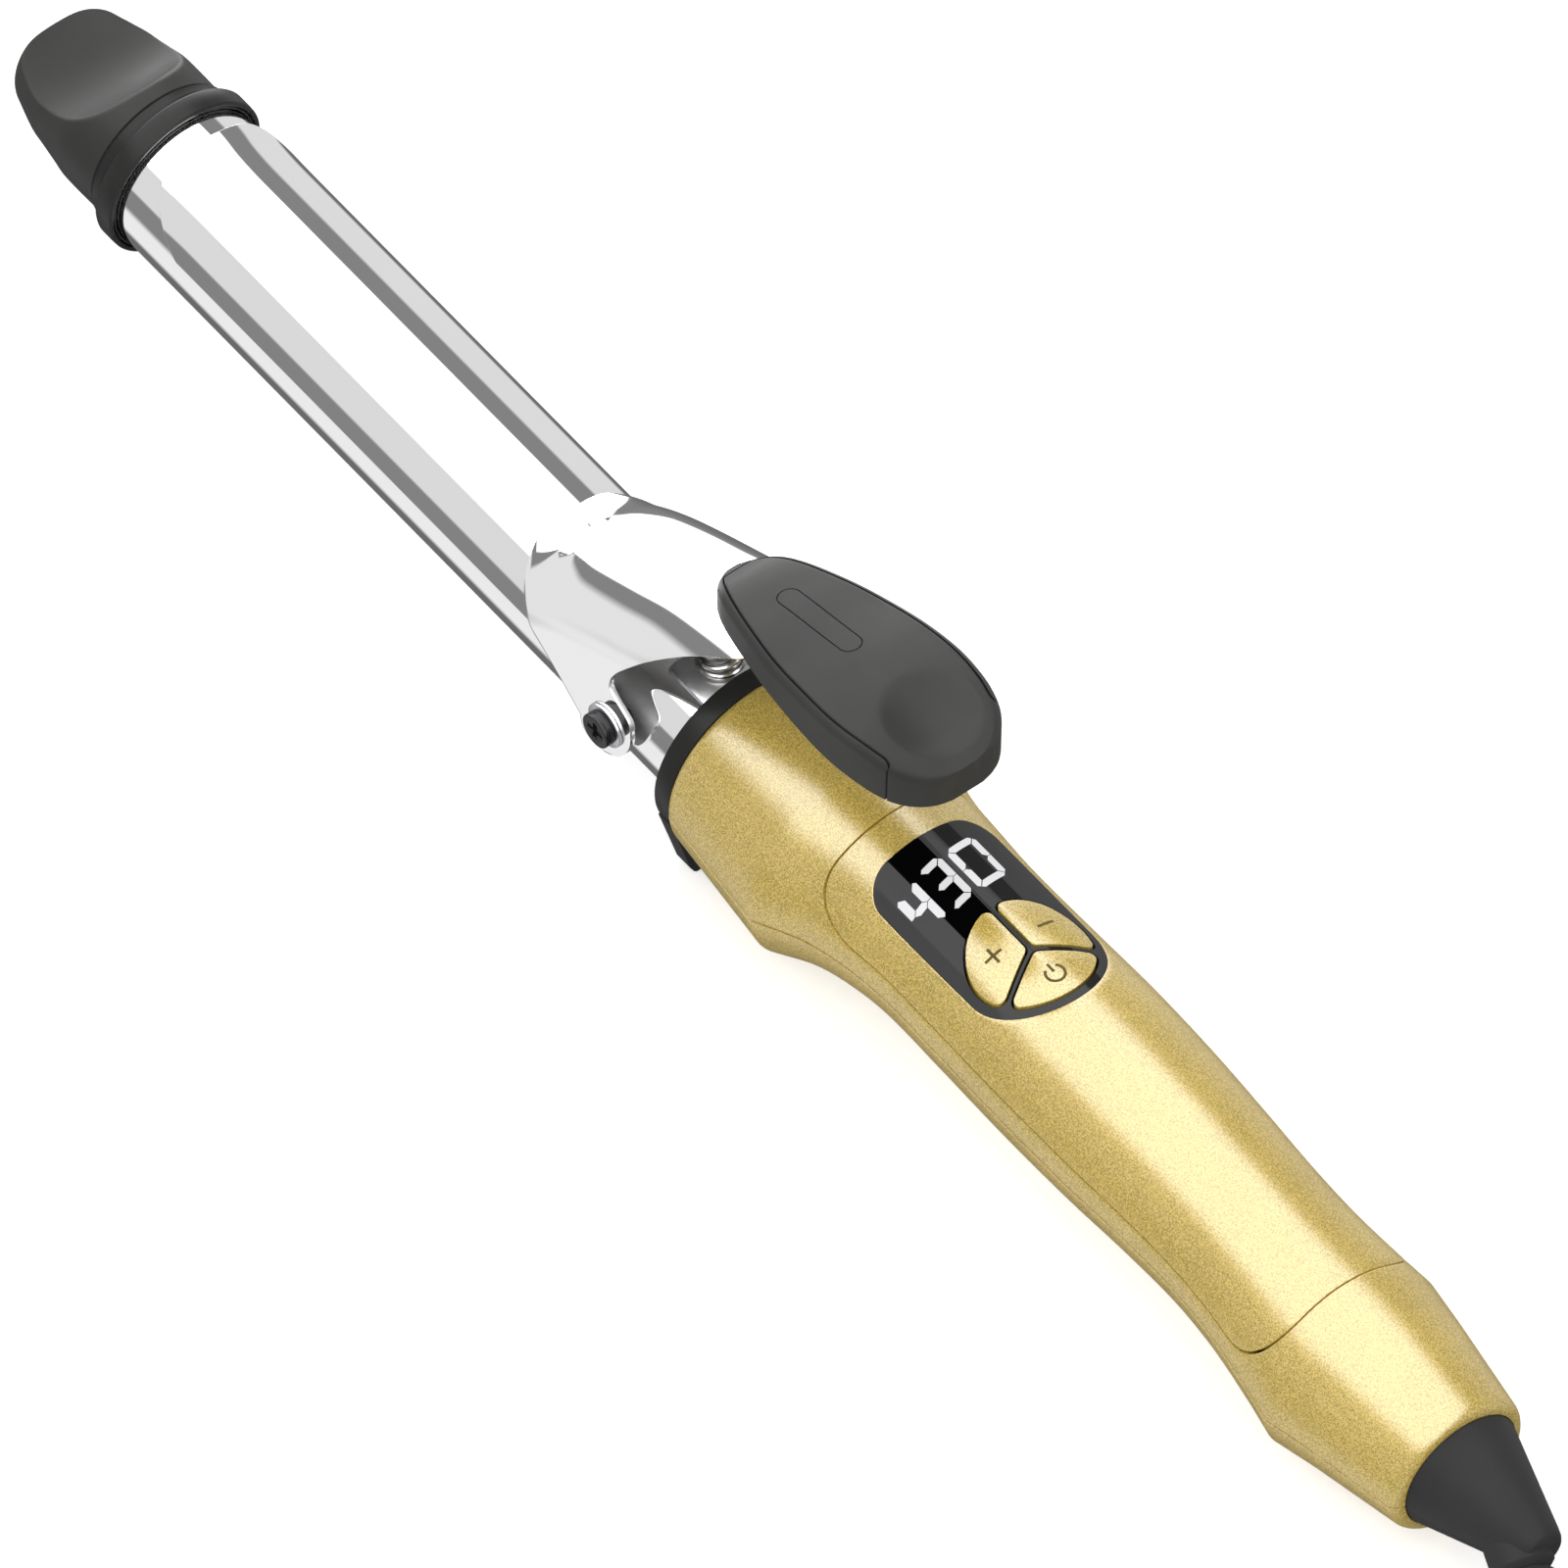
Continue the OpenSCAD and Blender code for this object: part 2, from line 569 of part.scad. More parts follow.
// Long slot of the screw cover, sloped with the lever's top
plug_x = [-27, -8.5];
plug_slope = atan((lever_top(plug_x[0], 0) - lever_top(plug_x[1], 0)) / (plug_x[1] - plug_x[0]));
module plug_slot(r, depth) {
    mid = (plug_x[0] + plug_x[1]) / 2;
    half = (plug_x[1] - plug_x[0]) / 2 - plug_w / 2;
    translate([mid, 0, lever_top(mid, 0)]) rotate([0, plug_slope, 0])
        translate([0, 0, depth - 0.9]) {
            for (s = [-1, 1]) translate([s * half, 0, 0]) cylinder(h = 3, r = r);
            translate([-half, -r, 0]) cube([2 * half, 2 * r, 3]);
        }
}
module lever_plug() {
    mid = (plug_x[0] + plug_x[1]) / 2;
    color([0.2, 0.2, 0.21]) at_rest() difference() {
        plug_slot(plug_w / 2 - fit, 0);
        translate([mid, 0, lever_top(mid, 0)]) rotate([0, plug_slope, 0])
            block([-reach, reach], [-reach, reach], [0, reach]);
    }
}

module lever_screws() {
    color([0.7, 0.7, 0.72]) at_rest() for (x = lever_screw_x) {
        top = crown(x + 2.2) - saddle_t - 0.25;
        post(x, 0, top - 1.3, top, 2.2);
        post(x, 0, top - 0.1, top + 5.4, 1.15);
    }
}

// ---- cool tip -----------------------------------------------------------

module tip_collar() {
    color([0.16, 0.16, 0.17]) at_rest() difference() {
        turned([[barrel_len, 0], [barrel_len, flange_r - 0.9], [barrel_len + 0.7, flange_r - 0.7],
            [barrel_len + 0.7, flange_r - 0.25], [barrel_len + 0.95, flange_r],
            [barrel_len + 3.5, flange_r], [barrel_len + 3.8, flange_r - 0.3],
            [barrel_len + 4.1, flange_r - 1.3], [barrel_len + 4.4, tip_r + 0.35],
            [tip_seam, tip_r + 0.3], [tip_seam, 0]]);
        rod(barrel_len - 1, barrel_end + fit, barrel_r + fit);
        rod(barrel_end + 1.4, tip_seam + 1, tip_r - tip_wall + fit);
        rod(barrel_len - 1, tip_seam, 1.7);
    }
}

module tip_bracket() {
    color([0.6, 0.6, 0.62]) at_rest() difference() {
        rod(barrel_end - 8, barrel_end, bore_r - fit);
        rod(barrel_end - 9, barrel_end - 1.6, bore_r - 1.2);
        rod(barrel_end - 2, barrel_end + 1, 1.5);
    }
}

module tip_screw() {
    color([0.7, 0.7, 0.72]) at_rest() {
        rod(barrel_end - 6, barrel_end + 1.45, 1.4);
        difference() {
            rod(barrel_end + 1.45, barrel_end + 3.4, 2.8);
            for (a = [0, 90]) translate([barrel_end + 3.4, 0, 0]) rotate([a, 0, 0])
                cube([1.6, 3.2, 0.8], center = true);
        }
    }
}

// The tip is turned, its end is rounded, and a finger scoop is milled into each side
module tip_cap() {
    end_r = 4.6;
    shoulder = tip_end - 17.5;
    color([0.16, 0.16, 0.17]) at_rest() difference() {
        turned(concat([[tip_seam - 1.2, 0], [tip_seam - 1.2, tip_r - tip_wall],
                [tip_seam + fit, tip_r - tip_wall], [tip_seam + fit, tip_r],
                [shoulder, tip_r], [tip_end - 14.5, tip_r - 0.5], [tip_end - 11.5, tip_r - 1.05],
                [tip_end - 8.5, tip_r - 1.7]],
            [for (a = [18:12:90]) [tip_end - end_r * (1 - sin(a)), tip_r - 3.3 - end_r * (1 - cos(a))]],
            [[tip_end, 0]]));
        rod(tip_seam - 2, tip_seam + 5, tip_r - 2 * tip_wall);
        for (s = [-1, 1]) translate([tip_end - 6.7, 0, s * (scoop_r + tip_grip_t / 2 - 0.5)])
            rotate([90, 0, 0]) cylinder(h = reach, r = scoop_r, center = true);
    }
}

// ---- collar and foot ----------------------------------------------------

module collar_stand() {
    r = collar_d / 2;
    corner = 3;
    color([0.15, 0.15, 0.16]) at_rest() difference() {
        union() {
            rod(-collar_t, 0, r);
            rotate([90, 0, 90]) translate([0, 0, -collar_t]) linear_extrude(height = collar_t)
                polygon([[-r * 0.95, -r * 0.36], [r * 0.95, -r * 0.36],
                    [foot_w / 2, -foot_drop + corner * 0.6], [foot_w / 2 - corner * 0.25, -foot_drop + corner * 0.15],
                    [foot_w / 2 - corner * 0.8, -foot_drop - 1],
                    [-foot_w / 2 + corner * 0.8, -foot_drop - 1],
                    [-foot_w / 2 + corner * 0.25, -foot_drop + corner * 0.15],
                    [-foot_w / 2, -foot_drop + corner * 0.6]]);
        }
        rod(-collar_t - 5, 1, barrel_r + fit);
        // The foot's bottom lies flat on the table
        rotate([0, tilt, 0]) block([-reach, reach], [-reach, reach], [-reach, -rest_z]);
    }
}

module barrel_bush() {
    x0 = -barrel_tail + 2;
    color([0.85, 0.83, 0.76]) at_rest() difference() {
        union() {
            rod(x0, x0 + 3, inner_r(-x0 - 3) - 1);
            rod(x0, x0 + 16, barrel_r + 1.4);
        }
        rod(x0 - 1, x0 + 17, barrel_r + fit);
        translate([x0 + 4, 0, 0]) rotate([90, 0, 0]) cylinder(h = reach, r = 1.5, center = true);
    }
}

// ---- handle -------------------------------------------------------------

screw_x = [-front_bulge - 3.8, -rear_bulge + 8.7];
boss_r = 3.9;
split = 94;

// Round boss with four gussets, from z0 to z1
module boss(x, z0, z1) {
    post(x, 0, z0, z1, boss_r, $fn = 20);
    foot = mix(z0, z1, 0.45);
    for (a = [0, 90, 180, 270]) translate([x, 0, 0]) rotate([0, 0, a]) hull() {
        block([0, boss_r + 2.4], [-0.6, 0.6], [min(z0, z0 + 0.4), max(z0, z0 + 0.4)]);
        block([0, 1], [-0.6, 0.6], [min(foot, foot + 0.4), max(foot, foot + 0.4)]);
    }
}

// Height of the inside of the wall over x
function roof(x) = handle_rise(-x) + handle_r(-x) - panel_t - 0.4;

module handle_lower() {
    color([0.82, 0.72, 0.42]) at_rest() difference() {
        union() {
            shell(split + 0.15, 360 - split - 0.15, 14);
            for (x = screw_x) boss(x, handle_rise(-x) - handle_r(-x) + 1.3, -1);
        }
        for (x = screw_x) {
            post(x, 0, -reach, -7.9, 3.1, $fn = 24);
            post(x, 0, -reach, 0, 1.6, $fn = 16);
        }
    }
}

module handle_upper() {
    color([0.84, 0.74, 0.45]) at_rest() difference() {
        union() {
            shell(-split, split, 16);
            for (x = screw_x) mirror([0, 0, 1]) boss(x, -roof(x), 0.9);
            for (x = peg_x) {
                post(x, 0, board_z + board_t + fit, roof(x), 2, $fn = 20);
                post(x, 0, board_z - 1, roof(x), peg_r, $fn = 20);
            }
        }
        panel_pocket();
        for (x = screw_x) post(x, 0, -2, 12, 1.45, $fn = 16);
        // Opening under the window for the display and the switches
        block([ring_x - button_room, -window_x0 - 1.5], [-button_room, button_room], [board_z, reach]);
    }
}

// Top panel: its corners are rounded where its two ends meet its long sides
panel_x0 = front_bulge + 9;
panel_x1 = rear_bulge + 0.2;
function panel_end(a, reach_d, free) =
    let (t = max(0, (abs(a) / panel_wrap - free) / (1 - free)))
    reach_d * (1 - sqrt(max(0, 1 - t * t)));
function panel_rows(grow) = [for (a = [-1, -0.98, -0.92, -0.83, -0.7, -0.54, -0.37, -0.19, 0,
        0.19, 0.37, 0.54, 0.7, 0.83, 0.92, 0.98, 1])
    a * (panel_wrap + grow * 3.7)];
function panel_grid(grow, depth) = [for (t = steps(0, 1, 18))
    [for (a = panel_rows(grow))
        let (b = a * panel_wrap / (panel_wrap + grow * 3.7),
            d0 = panel_x0 - grow + panel_end(b, 11, 0.5),
            d1 = panel_x1 + grow - panel_end(b, 9, 0.35),
            d = mix(d0, d1, t))
        on_handle(min(d, rear_bulge + 0.5), a, depth)]];

module panel_pocket() {
    between(panel_grid(seat, -2), panel_grid(seat, panel_t + 0.05));
}

module handle_panel() {
    color([0.86, 0.77, 0.5]) at_rest() difference() {
        between(panel_grid(0, 0), panel_grid(0, panel_t));
        window_outline(seat, 0, reach);
    }
}

module handle_screws() {
    color([0.6, 0.6, 0.62]) at_rest() for (x = screw_x) difference() {
        union() {
            post(x, 0, -9.9, -7.95, 2.9);
            post(x, 0, -8, 7.9, 1.4);
        }
        for (a = [0, 90]) translate([x, 0, -9.9]) rotate([0, 0, a]) cube([3.4, 0.8, 1.6], center = true);
    }
}

// ---- display and buttons ------------------------------------------------

window_x0 = front_bulge + 15.1;
window_x1 = window_x0 + window_len;
window_r = 15.25;
window_rise = 4.86;
window_t = 1.2;
button_skin_r = window_r - window_t - 0.4;
ring_x = -window_x1 + window_w / 2 + 0.2;

// Window outline: rounded corners in front, a full round behind
module window_outline(grow, z0, z1) {
    r = window_w / 2 + grow;
    c = 5 + grow;
    xf = -window_x0 + grow;
    xr = -window_x1 - grow + r;
    translate([0, 0, z0]) linear_extrude(height = z1 - z0) {
        translate([xr, 0]) circle(r = r);
        translate([xr, -r]) square([xf - c - xr, 2 * r]);
        translate([xf - c - 0.01, -r + c]) square([c + 0.01, 2 * (r - c)]);
        for (s = [-1, 1]) translate([xf - c, s * (r - c)]) circle(r = c);
    }
}
module window_skin(outer, inner) {
    translate([0, 0, window_rise]) difference() {
        rod(-window_x1 - 2, -window_x0 + 2, outer);
        rod(-window_x1 - 3, -window_x0 + 3, inner);
    }
}

module display_window() {
    color([0.03, 0.03, 0.035]) at_rest() difference() {
        intersection() {
            window_skin(window_r, window_r - window_t);
            window_outline(0, 5, reach);
        }
        for (a = button_angles) button_prism(a, seat);
    }
}

button_room = button_ring_d / 2 + 0.5;
// Three sectors round the ring's centre: plus, minus and power
button_angles = [60, -60, 180];
module button_prism(a, grow) {
    r = button_ring_d / 2 + grow;
    gap = button_web / 2 - grow;
    translate([ring_x, 0, 0]) rotate([0, 0, a]) linear_extrude(height = reach)
        offset(r = 1.1 + grow) offset(delta = -1.1 - grow) intersection() {
            circle(r = r, $fn = 64);
            polygon([[gap / sin(60), 0], [gap / sin(60) + 2 * r * cos(60), 2 * r * sin(60)],
                [3 * r, 0], [gap / sin(60) + 2 * r * cos(60), -2 * r * sin(60)]]);
        }
}
module button(a) {
    q = button_ring_d * 0.28;
    color([0.86, 0.77, 0.5]) at_rest() {
        intersection() {
            window_skin(window_r + 0.15, button_skin_r);
            button_prism(a, 0);
        }
        post(ring_x + q * cos(a), q * sin(a), stem_z,
            window_rise + sqrt(pow(button_skin_r, 2) - pow(q * sin(a), 2)) + 0.8, 1.1);
    }
}
module button_plus() button(button_angles[0]);
module button_minus() button(button_angles[1]);
module button_power() button(button_angles[2]);

board_z = 8;
board_t = 1.6;
board_half = 9.6;
board_x = [-rear_bulge + 16.3, -window_x0 + 4.6];
peg_x = [board_x[0] + 4.4, board_x[1] - 2.7];
peg_r = 1.2;
switch_h = 5;
stem_z = board_z + board_t + switch_h + button_travel + fit;

module circuit_board() {
    color([0.1, 0.35, 0.18]) at_rest() difference() {
        block(board_x, [-board_half, board_half], [board_z, board_z + board_t]);
        for (x = peg_x) post(x, 0, 0, 20, peg_r + fit);
    }
}

module display_module() {
    color([0.85, 0.86, 0.86]) at_rest()
        block([-window_x0 - 18, -window_x0 - 3.5], [-8, 8], [board_z + board_t, window_rise + sqrt(pow(window_r - window_t, 2) - 64) - 0.3]);
}

module tact_switches() {
    q = button_ring_d * 0.28;
    color([0.25, 0.25, 0.27]) at_rest() for (a = button_angles)
        translate([ring_x + q * cos(a), q * sin(a), board_z + board_t]) {
            translate([-2.6, -2.6, 0]) cube([5.2, 5.2, switch_h - 1.5]);
            cylinder(h = switch_h, r = 1.4);
        }
}

module board_parts() {
    color([0.2, 0.2, 0.5]) at_rest() {
        // Smoothing capacitor, transformer, relay and terminal block under the board
        translate([board_x[0] + 12, 3, board_z - 5.2]) rod(-6, 7, 5);
        block([board_x[0] + 26, board_x[0] + 40], [-7, 7], [board_z - 11, board_z]);
        block([ring_x - 3.5, ring_x + 10.5], [-5.5, 5.5], [board_z - 12, board_z]);
        block([board_x[1] - 16, board_x[1] - 6], [-7, 7], [board_z - 8, board_z]);
        block([board_x[0] + 18, board_x[0] + 32], [-5, 5], [board_z + board_t, board_z + board_t + 1.4]);
    }
}

wire_route = [[-44, 4, -1], [-34, 6, -2], [-26, 6, -2], [-14, 5, -1], [0, 4, 0], [12, 3.4, 0],
    [22, 3, 0], [29.5, 3, 0]];
module lead_wires() {
    color([0.9, 0.9, 0.88]) at_rest() sides() tube(wire_route, 0.8, 8);
}

// ---- swivel cord exit ---------------------------------------------------

bush_x = [handle_end - 12.8, handle_end - 6.4];
module swivel_bush() {
    color([0.85, 0.83, 0.76]) at_rest() difference() {
        rod(-bush_x[1], -bush_x[0], inner_r(bush_x[1]) - 0.3);
        rod(-bush_x[1] - 1, -bush_x[0] + 1, journal_r + fit);
    }
}

module swivel_boot() {
    e = handle_end;
    slope_x = [e + 3, e + 15.2];
    color([0.13, 0.13, 0.14]) at_rest() difference() {
        turned([[-e - 19, 0], [-e - 18.8, 1.8], [-e - 18, 3.2], [-e - 16.8, 4.3], [-slope_x[1], 5],
            [-slope_x[0], 9.5], [-e, boot_r], [-e + 6, boot_r], [-e + 6, journal_r],
            [-bush_x[0] + 0.3, journal_r], [-bush_x[0] + 0.3, journal_r + 2.4],
            [-bush_x[0] + 2, journal_r + 2.4], [-bush_x[0] + 2, 4], [-bush_x[0] + 13, 4],
            [-bush_x[0] + 13, 0]]);
        relief_frame() cylinder(h = reach, r = relief_d / 2 + fit);
        rod(-e + 2, -bush_x[0] + 14, 2.6);
    }
}

// Brass slip rings on the boot's post, and the leaf contacts that rub on them
ring_at = [3.6, 9];
module contact_rings() {
    color([0.85, 0.65, 0.3]) at_rest() for (x = ring_at) difference() {
        rod(-bush_x[0] + x, -bush_x[0] + x + 2.6, 5.2);
        rod(-bush_x[0] + x - 1, -bush_x[0] + x + 4, 4 + fit);
    }
}

holder_z = -8.4;
module brush_holder() {
    x0 = -bush_x[0] + 2.4;
    color([0.85, 0.83, 0.76]) at_rest() intersection() {
        block([x0, x0 + 11], [-7, 7], [-reach, holder_z]);
        rod(x0 - 1, x0 + 12, inner_r(bush_x[0]) - 0.4);
    }
}
module brush_contacts() {
    color([0.85, 0.65, 0.3]) at_rest() for (x = ring_at)
        translate([-bush_x[0] + x + 0.5, 0, 0]) difference() {
            block([0, 1.6], [-5.4, 5.4], [holder_z, 0]);
            rod(-1, 3, 5.2 + 0.15);
            block([-1, 3], [-3.6, 3.6], [holder_z - 1, -5.2]);
        }
}

// The strain relief leaves the boot sideways and down
relief_start = [-handle_end - 9.3, 0, 0];
relief_dir = [-cos(26), sin(26) * cos(45), -sin(26) * sin(45)];
module relief_frame() {
    translate(relief_start) rotate([0, 0, atan2(relief_dir[1], relief_dir[0])])
        rotate([0, acos(relief_dir[2]), 0]) children();
}
relief_end = relief_start + relief_dir * relief_len;
relief_tip_r = cord_d / 2 + 0.9;
module strain_relief() {
    pitch = 3.4;
    hoops = floor((relief_len - 9) / pitch);
    r0 = relief_d / 2;
    color([0.1, 0.1, 0.11]) at_rest() difference() {
        relief_frame() difference() {
            union() {
                cylinder(h = 9, r = r0);
                translate([0, 0, 9]) cylinder(h = relief_len - 9, r1 = r0 - 1.1, r2 = relief_tip_r - 0.3);
                for (i = [1:hoops]) translate([0, 0, 9 + (i - 1) * pitch + 1.1])
                    cylinder(h = 1.9, r = mix(r0 - 0.3, relief_tip_r, i / hoops));
            }
            translate([0, 0, relief_len - 6]) cylinder(h = 10, r = cord_d / 2 + 0.02);
        }
    }
}

// ---- cord, hank and plug: in the resting frame --------------------------

cord_r = cord_d / 2;
tie_t = 0.8;
hank_pitch = 5.8;
hank_lanes = 2;
hank_layers = 3;
fold_r = 17;
hank_y = -6;
hank_x = -232;
hank_half = fold_r + (hank_lanes - 1) * hank_pitch + cord_r;
hank_front = hank_x - hank_half;
hank_rear = hank_front - hank_run;

// Route of the free cord from the strain relief to the hank
cord_route = [[-190.1, 7.9, 7.4], [-196.9, 10.2, 4.9], [-200.5, 11.4, 3.8], [-204.5, 12.6, 3.1],
    [-210, 14, 2.85], [-215, 15.4, 2.85], [-220.5, 16.4, 2.85], [-226.5, 16.8, 2.85],
    [-236, 16.8, 2.9], [-246, 16.8, 3.2], [-256, 16.8, 3.6], [-268, 16.8, 3.65]];
// Route of the tail, down from the top of the hank to the plug that lies inside it
tail_route = [[-353.6, -23, 15.25], [-349, -22.9, 15.2], [-343, -21.6, 14.9], [-337, -18.9, 13.9],
    [-331, -15, 12.2], [-325, -10.8, 10.3], [-319, -7.6, 8.8], [-313, -6.2, 8.1], [-308, -6, 8]];

module cord() {
    color([0.08, 0.08, 0.09]) {
        tube(cord_route, cord_r, 8);
        tube(tail_route, cord_r, 8);
    }
}

// Long round-ended outline along the hank, of half-width r
module oval(r) {
    for (x = [hank_front, hank_rear]) translate([x, 0]) circle(r = r);
    translate([hank_rear, -r]) square([hank_run, 2 * r]);
}
module cord_hank() {
    color([0.09, 0.09, 0.1]) translate([0, hank_y, tie_t + fit])
        linear_extrude(height = hank_pitch * (hank_layers - 1) + cord_d) difference() {
            oval(hank_half);
            oval(fold_r - cord_r);
        }
}

module cord_tie() {
    h = hank_pitch * (hank_layers - 1) + cord_d + 2 * fit;
    w = hank_half + fit;
    mid = (hank_front + hank_rear) / 2;
    color([0.05, 0.05, 0.05]) difference() {
        block([mid - 5, mid + 5], [hank_y - w - tie_t, hank_y + w + tie_t], [0, h + 2 * tie_t]);
        block([mid - 6, mid + 6], [hank_y - w, hank_y + w], [tie_t, h + tie_t]);
    }
}

plug_len = 32;
plug_half_w = 12;
plug_half_h = 8;
plug_at = [-308, hank_y, plug_half_h];
blade_y = 6.35;
module plug_body() {
    color([0.1, 0.1, 0.11]) translate(plug_at) difference() {
        union() {
            hull() {
                rod(0, 0.5, cord_r + 1.4);
                rod(16, 16.5, cord_r + 2.6);
            }
            hull() {
                for (x = [16, plug_len + 9.5], s = [-1, 1], t = [-1, 1])
                    translate([x + 2.5, s * (plug_half_w - 4 - (x < 20 ? 3 : 0)), t * (plug_half_h - 4 - (x < 20 ? 1.5 : 0))])
                        sphere(r = 3.98, $fn = 16);
            }
        }
        block([plug_len + 12, plug_len + 30], [-reach, reach], [-reach, reach]);
        for (s = [-1, 1]) translate([0, s * blade_y, 0])
            block([plug_len, plug_len + 20], [-0.8, 0.8], [-3.25, 3.25]);
    }
}
module plug_blades() {
    color([0.85, 0.8, 0.6]) translate(plug_at) for (s = [-1, 1]) difference() {
        translate([0, s * blade_y, 0])
            block([plug_len + 0.1, plug_len + 28], [-0.75, 0.75], [-3.15, 3.15]);
        translate([plug_len + 24.5, 0, 0]) rotate([90, 0, 0]) cylinder(h = reach, r = 1.6, center = true);
    }
}

barrel_tube();
heater_plate();
heat_spreaders();
thermistor();
thermal_fuse();
pivot_bracket();
spring_seat();
pivot_screws();
pivot_washers();
tip_collar();
tip_bracket();
tip_screw();
tip_cap();
collar_stand();
barrel_bush();
handle_upper();
handle_lower();
handle_panel();
display_window();
display_module();
circuit_board();
board_parts();
tact_switches();
handle_screws();
lead_wires();
swivel_bush();
brush_holder();
brush_contacts();
clip_shell();
clip_saddle();
clip_rivet();
clip_spring();
lever_base();
lever_cap();
lever_plug();
lever_screws();
button_plus();
button_minus();
button_power();
swivel_boot();
contact_rings();
strain_relief();
cord();
cord_hank();
cord_tie();
plug_body();
plug_blades();
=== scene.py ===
"""Curling iron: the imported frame, dressed with its finished pieces and set in a plain studio."""

import json
import math

import bpy
from bpy.props import FloatProperty, FloatVectorProperty, PointerProperty
from mathutils import Matrix, Vector


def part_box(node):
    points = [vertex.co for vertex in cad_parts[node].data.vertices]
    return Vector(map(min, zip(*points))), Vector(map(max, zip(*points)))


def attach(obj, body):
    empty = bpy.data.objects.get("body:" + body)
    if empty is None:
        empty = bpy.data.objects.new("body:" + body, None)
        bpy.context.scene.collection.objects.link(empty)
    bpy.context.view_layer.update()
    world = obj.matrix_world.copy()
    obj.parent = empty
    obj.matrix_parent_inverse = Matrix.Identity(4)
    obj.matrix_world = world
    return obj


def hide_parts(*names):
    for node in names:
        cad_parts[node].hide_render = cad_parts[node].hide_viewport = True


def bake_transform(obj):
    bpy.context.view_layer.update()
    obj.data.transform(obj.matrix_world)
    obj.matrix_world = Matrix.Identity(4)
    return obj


bl_info = {
    "name": "Curling Iron",
    "version": (1, 0, 0),
    "blender": (4, 5, 0),
    "location": "3D View > Sidebar > Curling Iron",
    "description": "Dresses the frame of a curling iron with its finished pieces",
    "category": "Object",
}

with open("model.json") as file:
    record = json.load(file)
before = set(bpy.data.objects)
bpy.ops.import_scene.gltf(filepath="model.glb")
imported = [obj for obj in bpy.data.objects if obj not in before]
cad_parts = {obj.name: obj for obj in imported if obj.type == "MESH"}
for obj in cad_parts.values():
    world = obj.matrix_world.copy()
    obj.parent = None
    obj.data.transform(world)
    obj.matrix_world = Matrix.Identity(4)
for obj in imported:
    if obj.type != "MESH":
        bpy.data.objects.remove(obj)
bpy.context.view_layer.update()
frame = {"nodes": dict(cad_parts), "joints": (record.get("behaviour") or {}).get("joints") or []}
JOINTS = {joint["name"]: joint for joint in frame["joints"]}
NODES = frame["nodes"]

# The iron's own lines are in millimetres about the barrel's axis: X = 0 at the collar's front face,
# the tip towards +X. REST sets a finished piece down in the frame, in metres.
ALONG = Vector(JOINTS["cord_swivel"]["axis"]).normalized()
TURN = Matrix((
    (ALONG.x, 0, -ALONG.z),
    (0, 1, 0),
    (ALONG.z, 0, ALONG.x),
))
ORIGIN = Vector(JOINTS["clip_hinge"]["pos_m"]) - TURN @ Vector((0.013, 0, 0.002))
REST = Matrix.Translation(ORIGIN) @ TURN.to_4x4() @ Matrix.Scale(0.001, 4)
TABLE = Matrix.Scale(0.001, 4)

# Main sizes of the iron, in millimetres
BARREL_R = 12.7
BARREL_END = 136.2
CLIP_TOP = 13.8
CLIP_T = 0.8
CLIP_WRAP = 73
CLIP_REAR = 20
CLIP_FRONT = 128
SADDLE_R = 14.8
SADDLE_T = 0.9
RIVET_X = 37
RIVET_SHIFT = -3.1
PIVOT_X = 13
COLLAR_T = 3.4
FRONT_R = 16.7
BULGE_R = 19.45
REAR_BULGE_R = 16.3
REAR_R = 11.9
BULGE_RISE = 0.72
REAR_RISE = -0.5
FRONT_BULGE = 27
REAR_BULGE = 144.3
HANDLE_END = 171
SHELL_WALL = 2.2
SHELL_BORE = 10.3
SHELL_EDGE = 1.4
SCREW_X = (-30.8, -135.6)
WELL_R = 3.1
LIP_END = 169.9
LIP_R = 1.7
SPLIT = 93.2
PANEL_FRONT = 36
PANEL_REAR = 142
PANEL_WRAP = 76
PANEL_T = 1.4
PANEL_CORNERS = (11, 9)
WINDOW_X0 = 42.1
WINDOW_X1 = 79.8
WINDOW_W = 22.2
WINDOW_R = 15.25
WINDOW_CORNER = 5
WINDOW_RISE = 4.86
RING_X = -68.5
RING_R = 9.6
RING_GAP = 0.65
KEY_CORNER = 1.1
KEY_RISE = 0.15
SIGN_R = 5.65
SIGN_BOLD = 0.46
SIGN_LIFT = 0.03
SIGN_T = 0.05
LEVER_FRONT = 2.7
LEVER_LEN = 55.7
LEVER_W = 25.2
CAP_INSET = 1.2
CAP_T = 1.6
CAP_GAP = 0.16
CAP_JOINT = 49.55
SLOT_FRONT = -8.5
SLOT_REAR = -27
SLOT_R = 1.95
SLOT_INNER = 1.75
SLOT_DEPTH = 0.5
TIP_SEAM = 139
TIP_END = 164.5
CORD_R = 2.8


# ---- sizes and colours that a user would change ---------------------------------------------

def colour(name, description, value):
    return FloatVectorProperty(
        name=name, description=description, default=value, subtype="COLOR", min=0, max=1
    )


def length(name, description, value):
    return FloatProperty(name=name, description=description, default=value, unit="LENGTH")


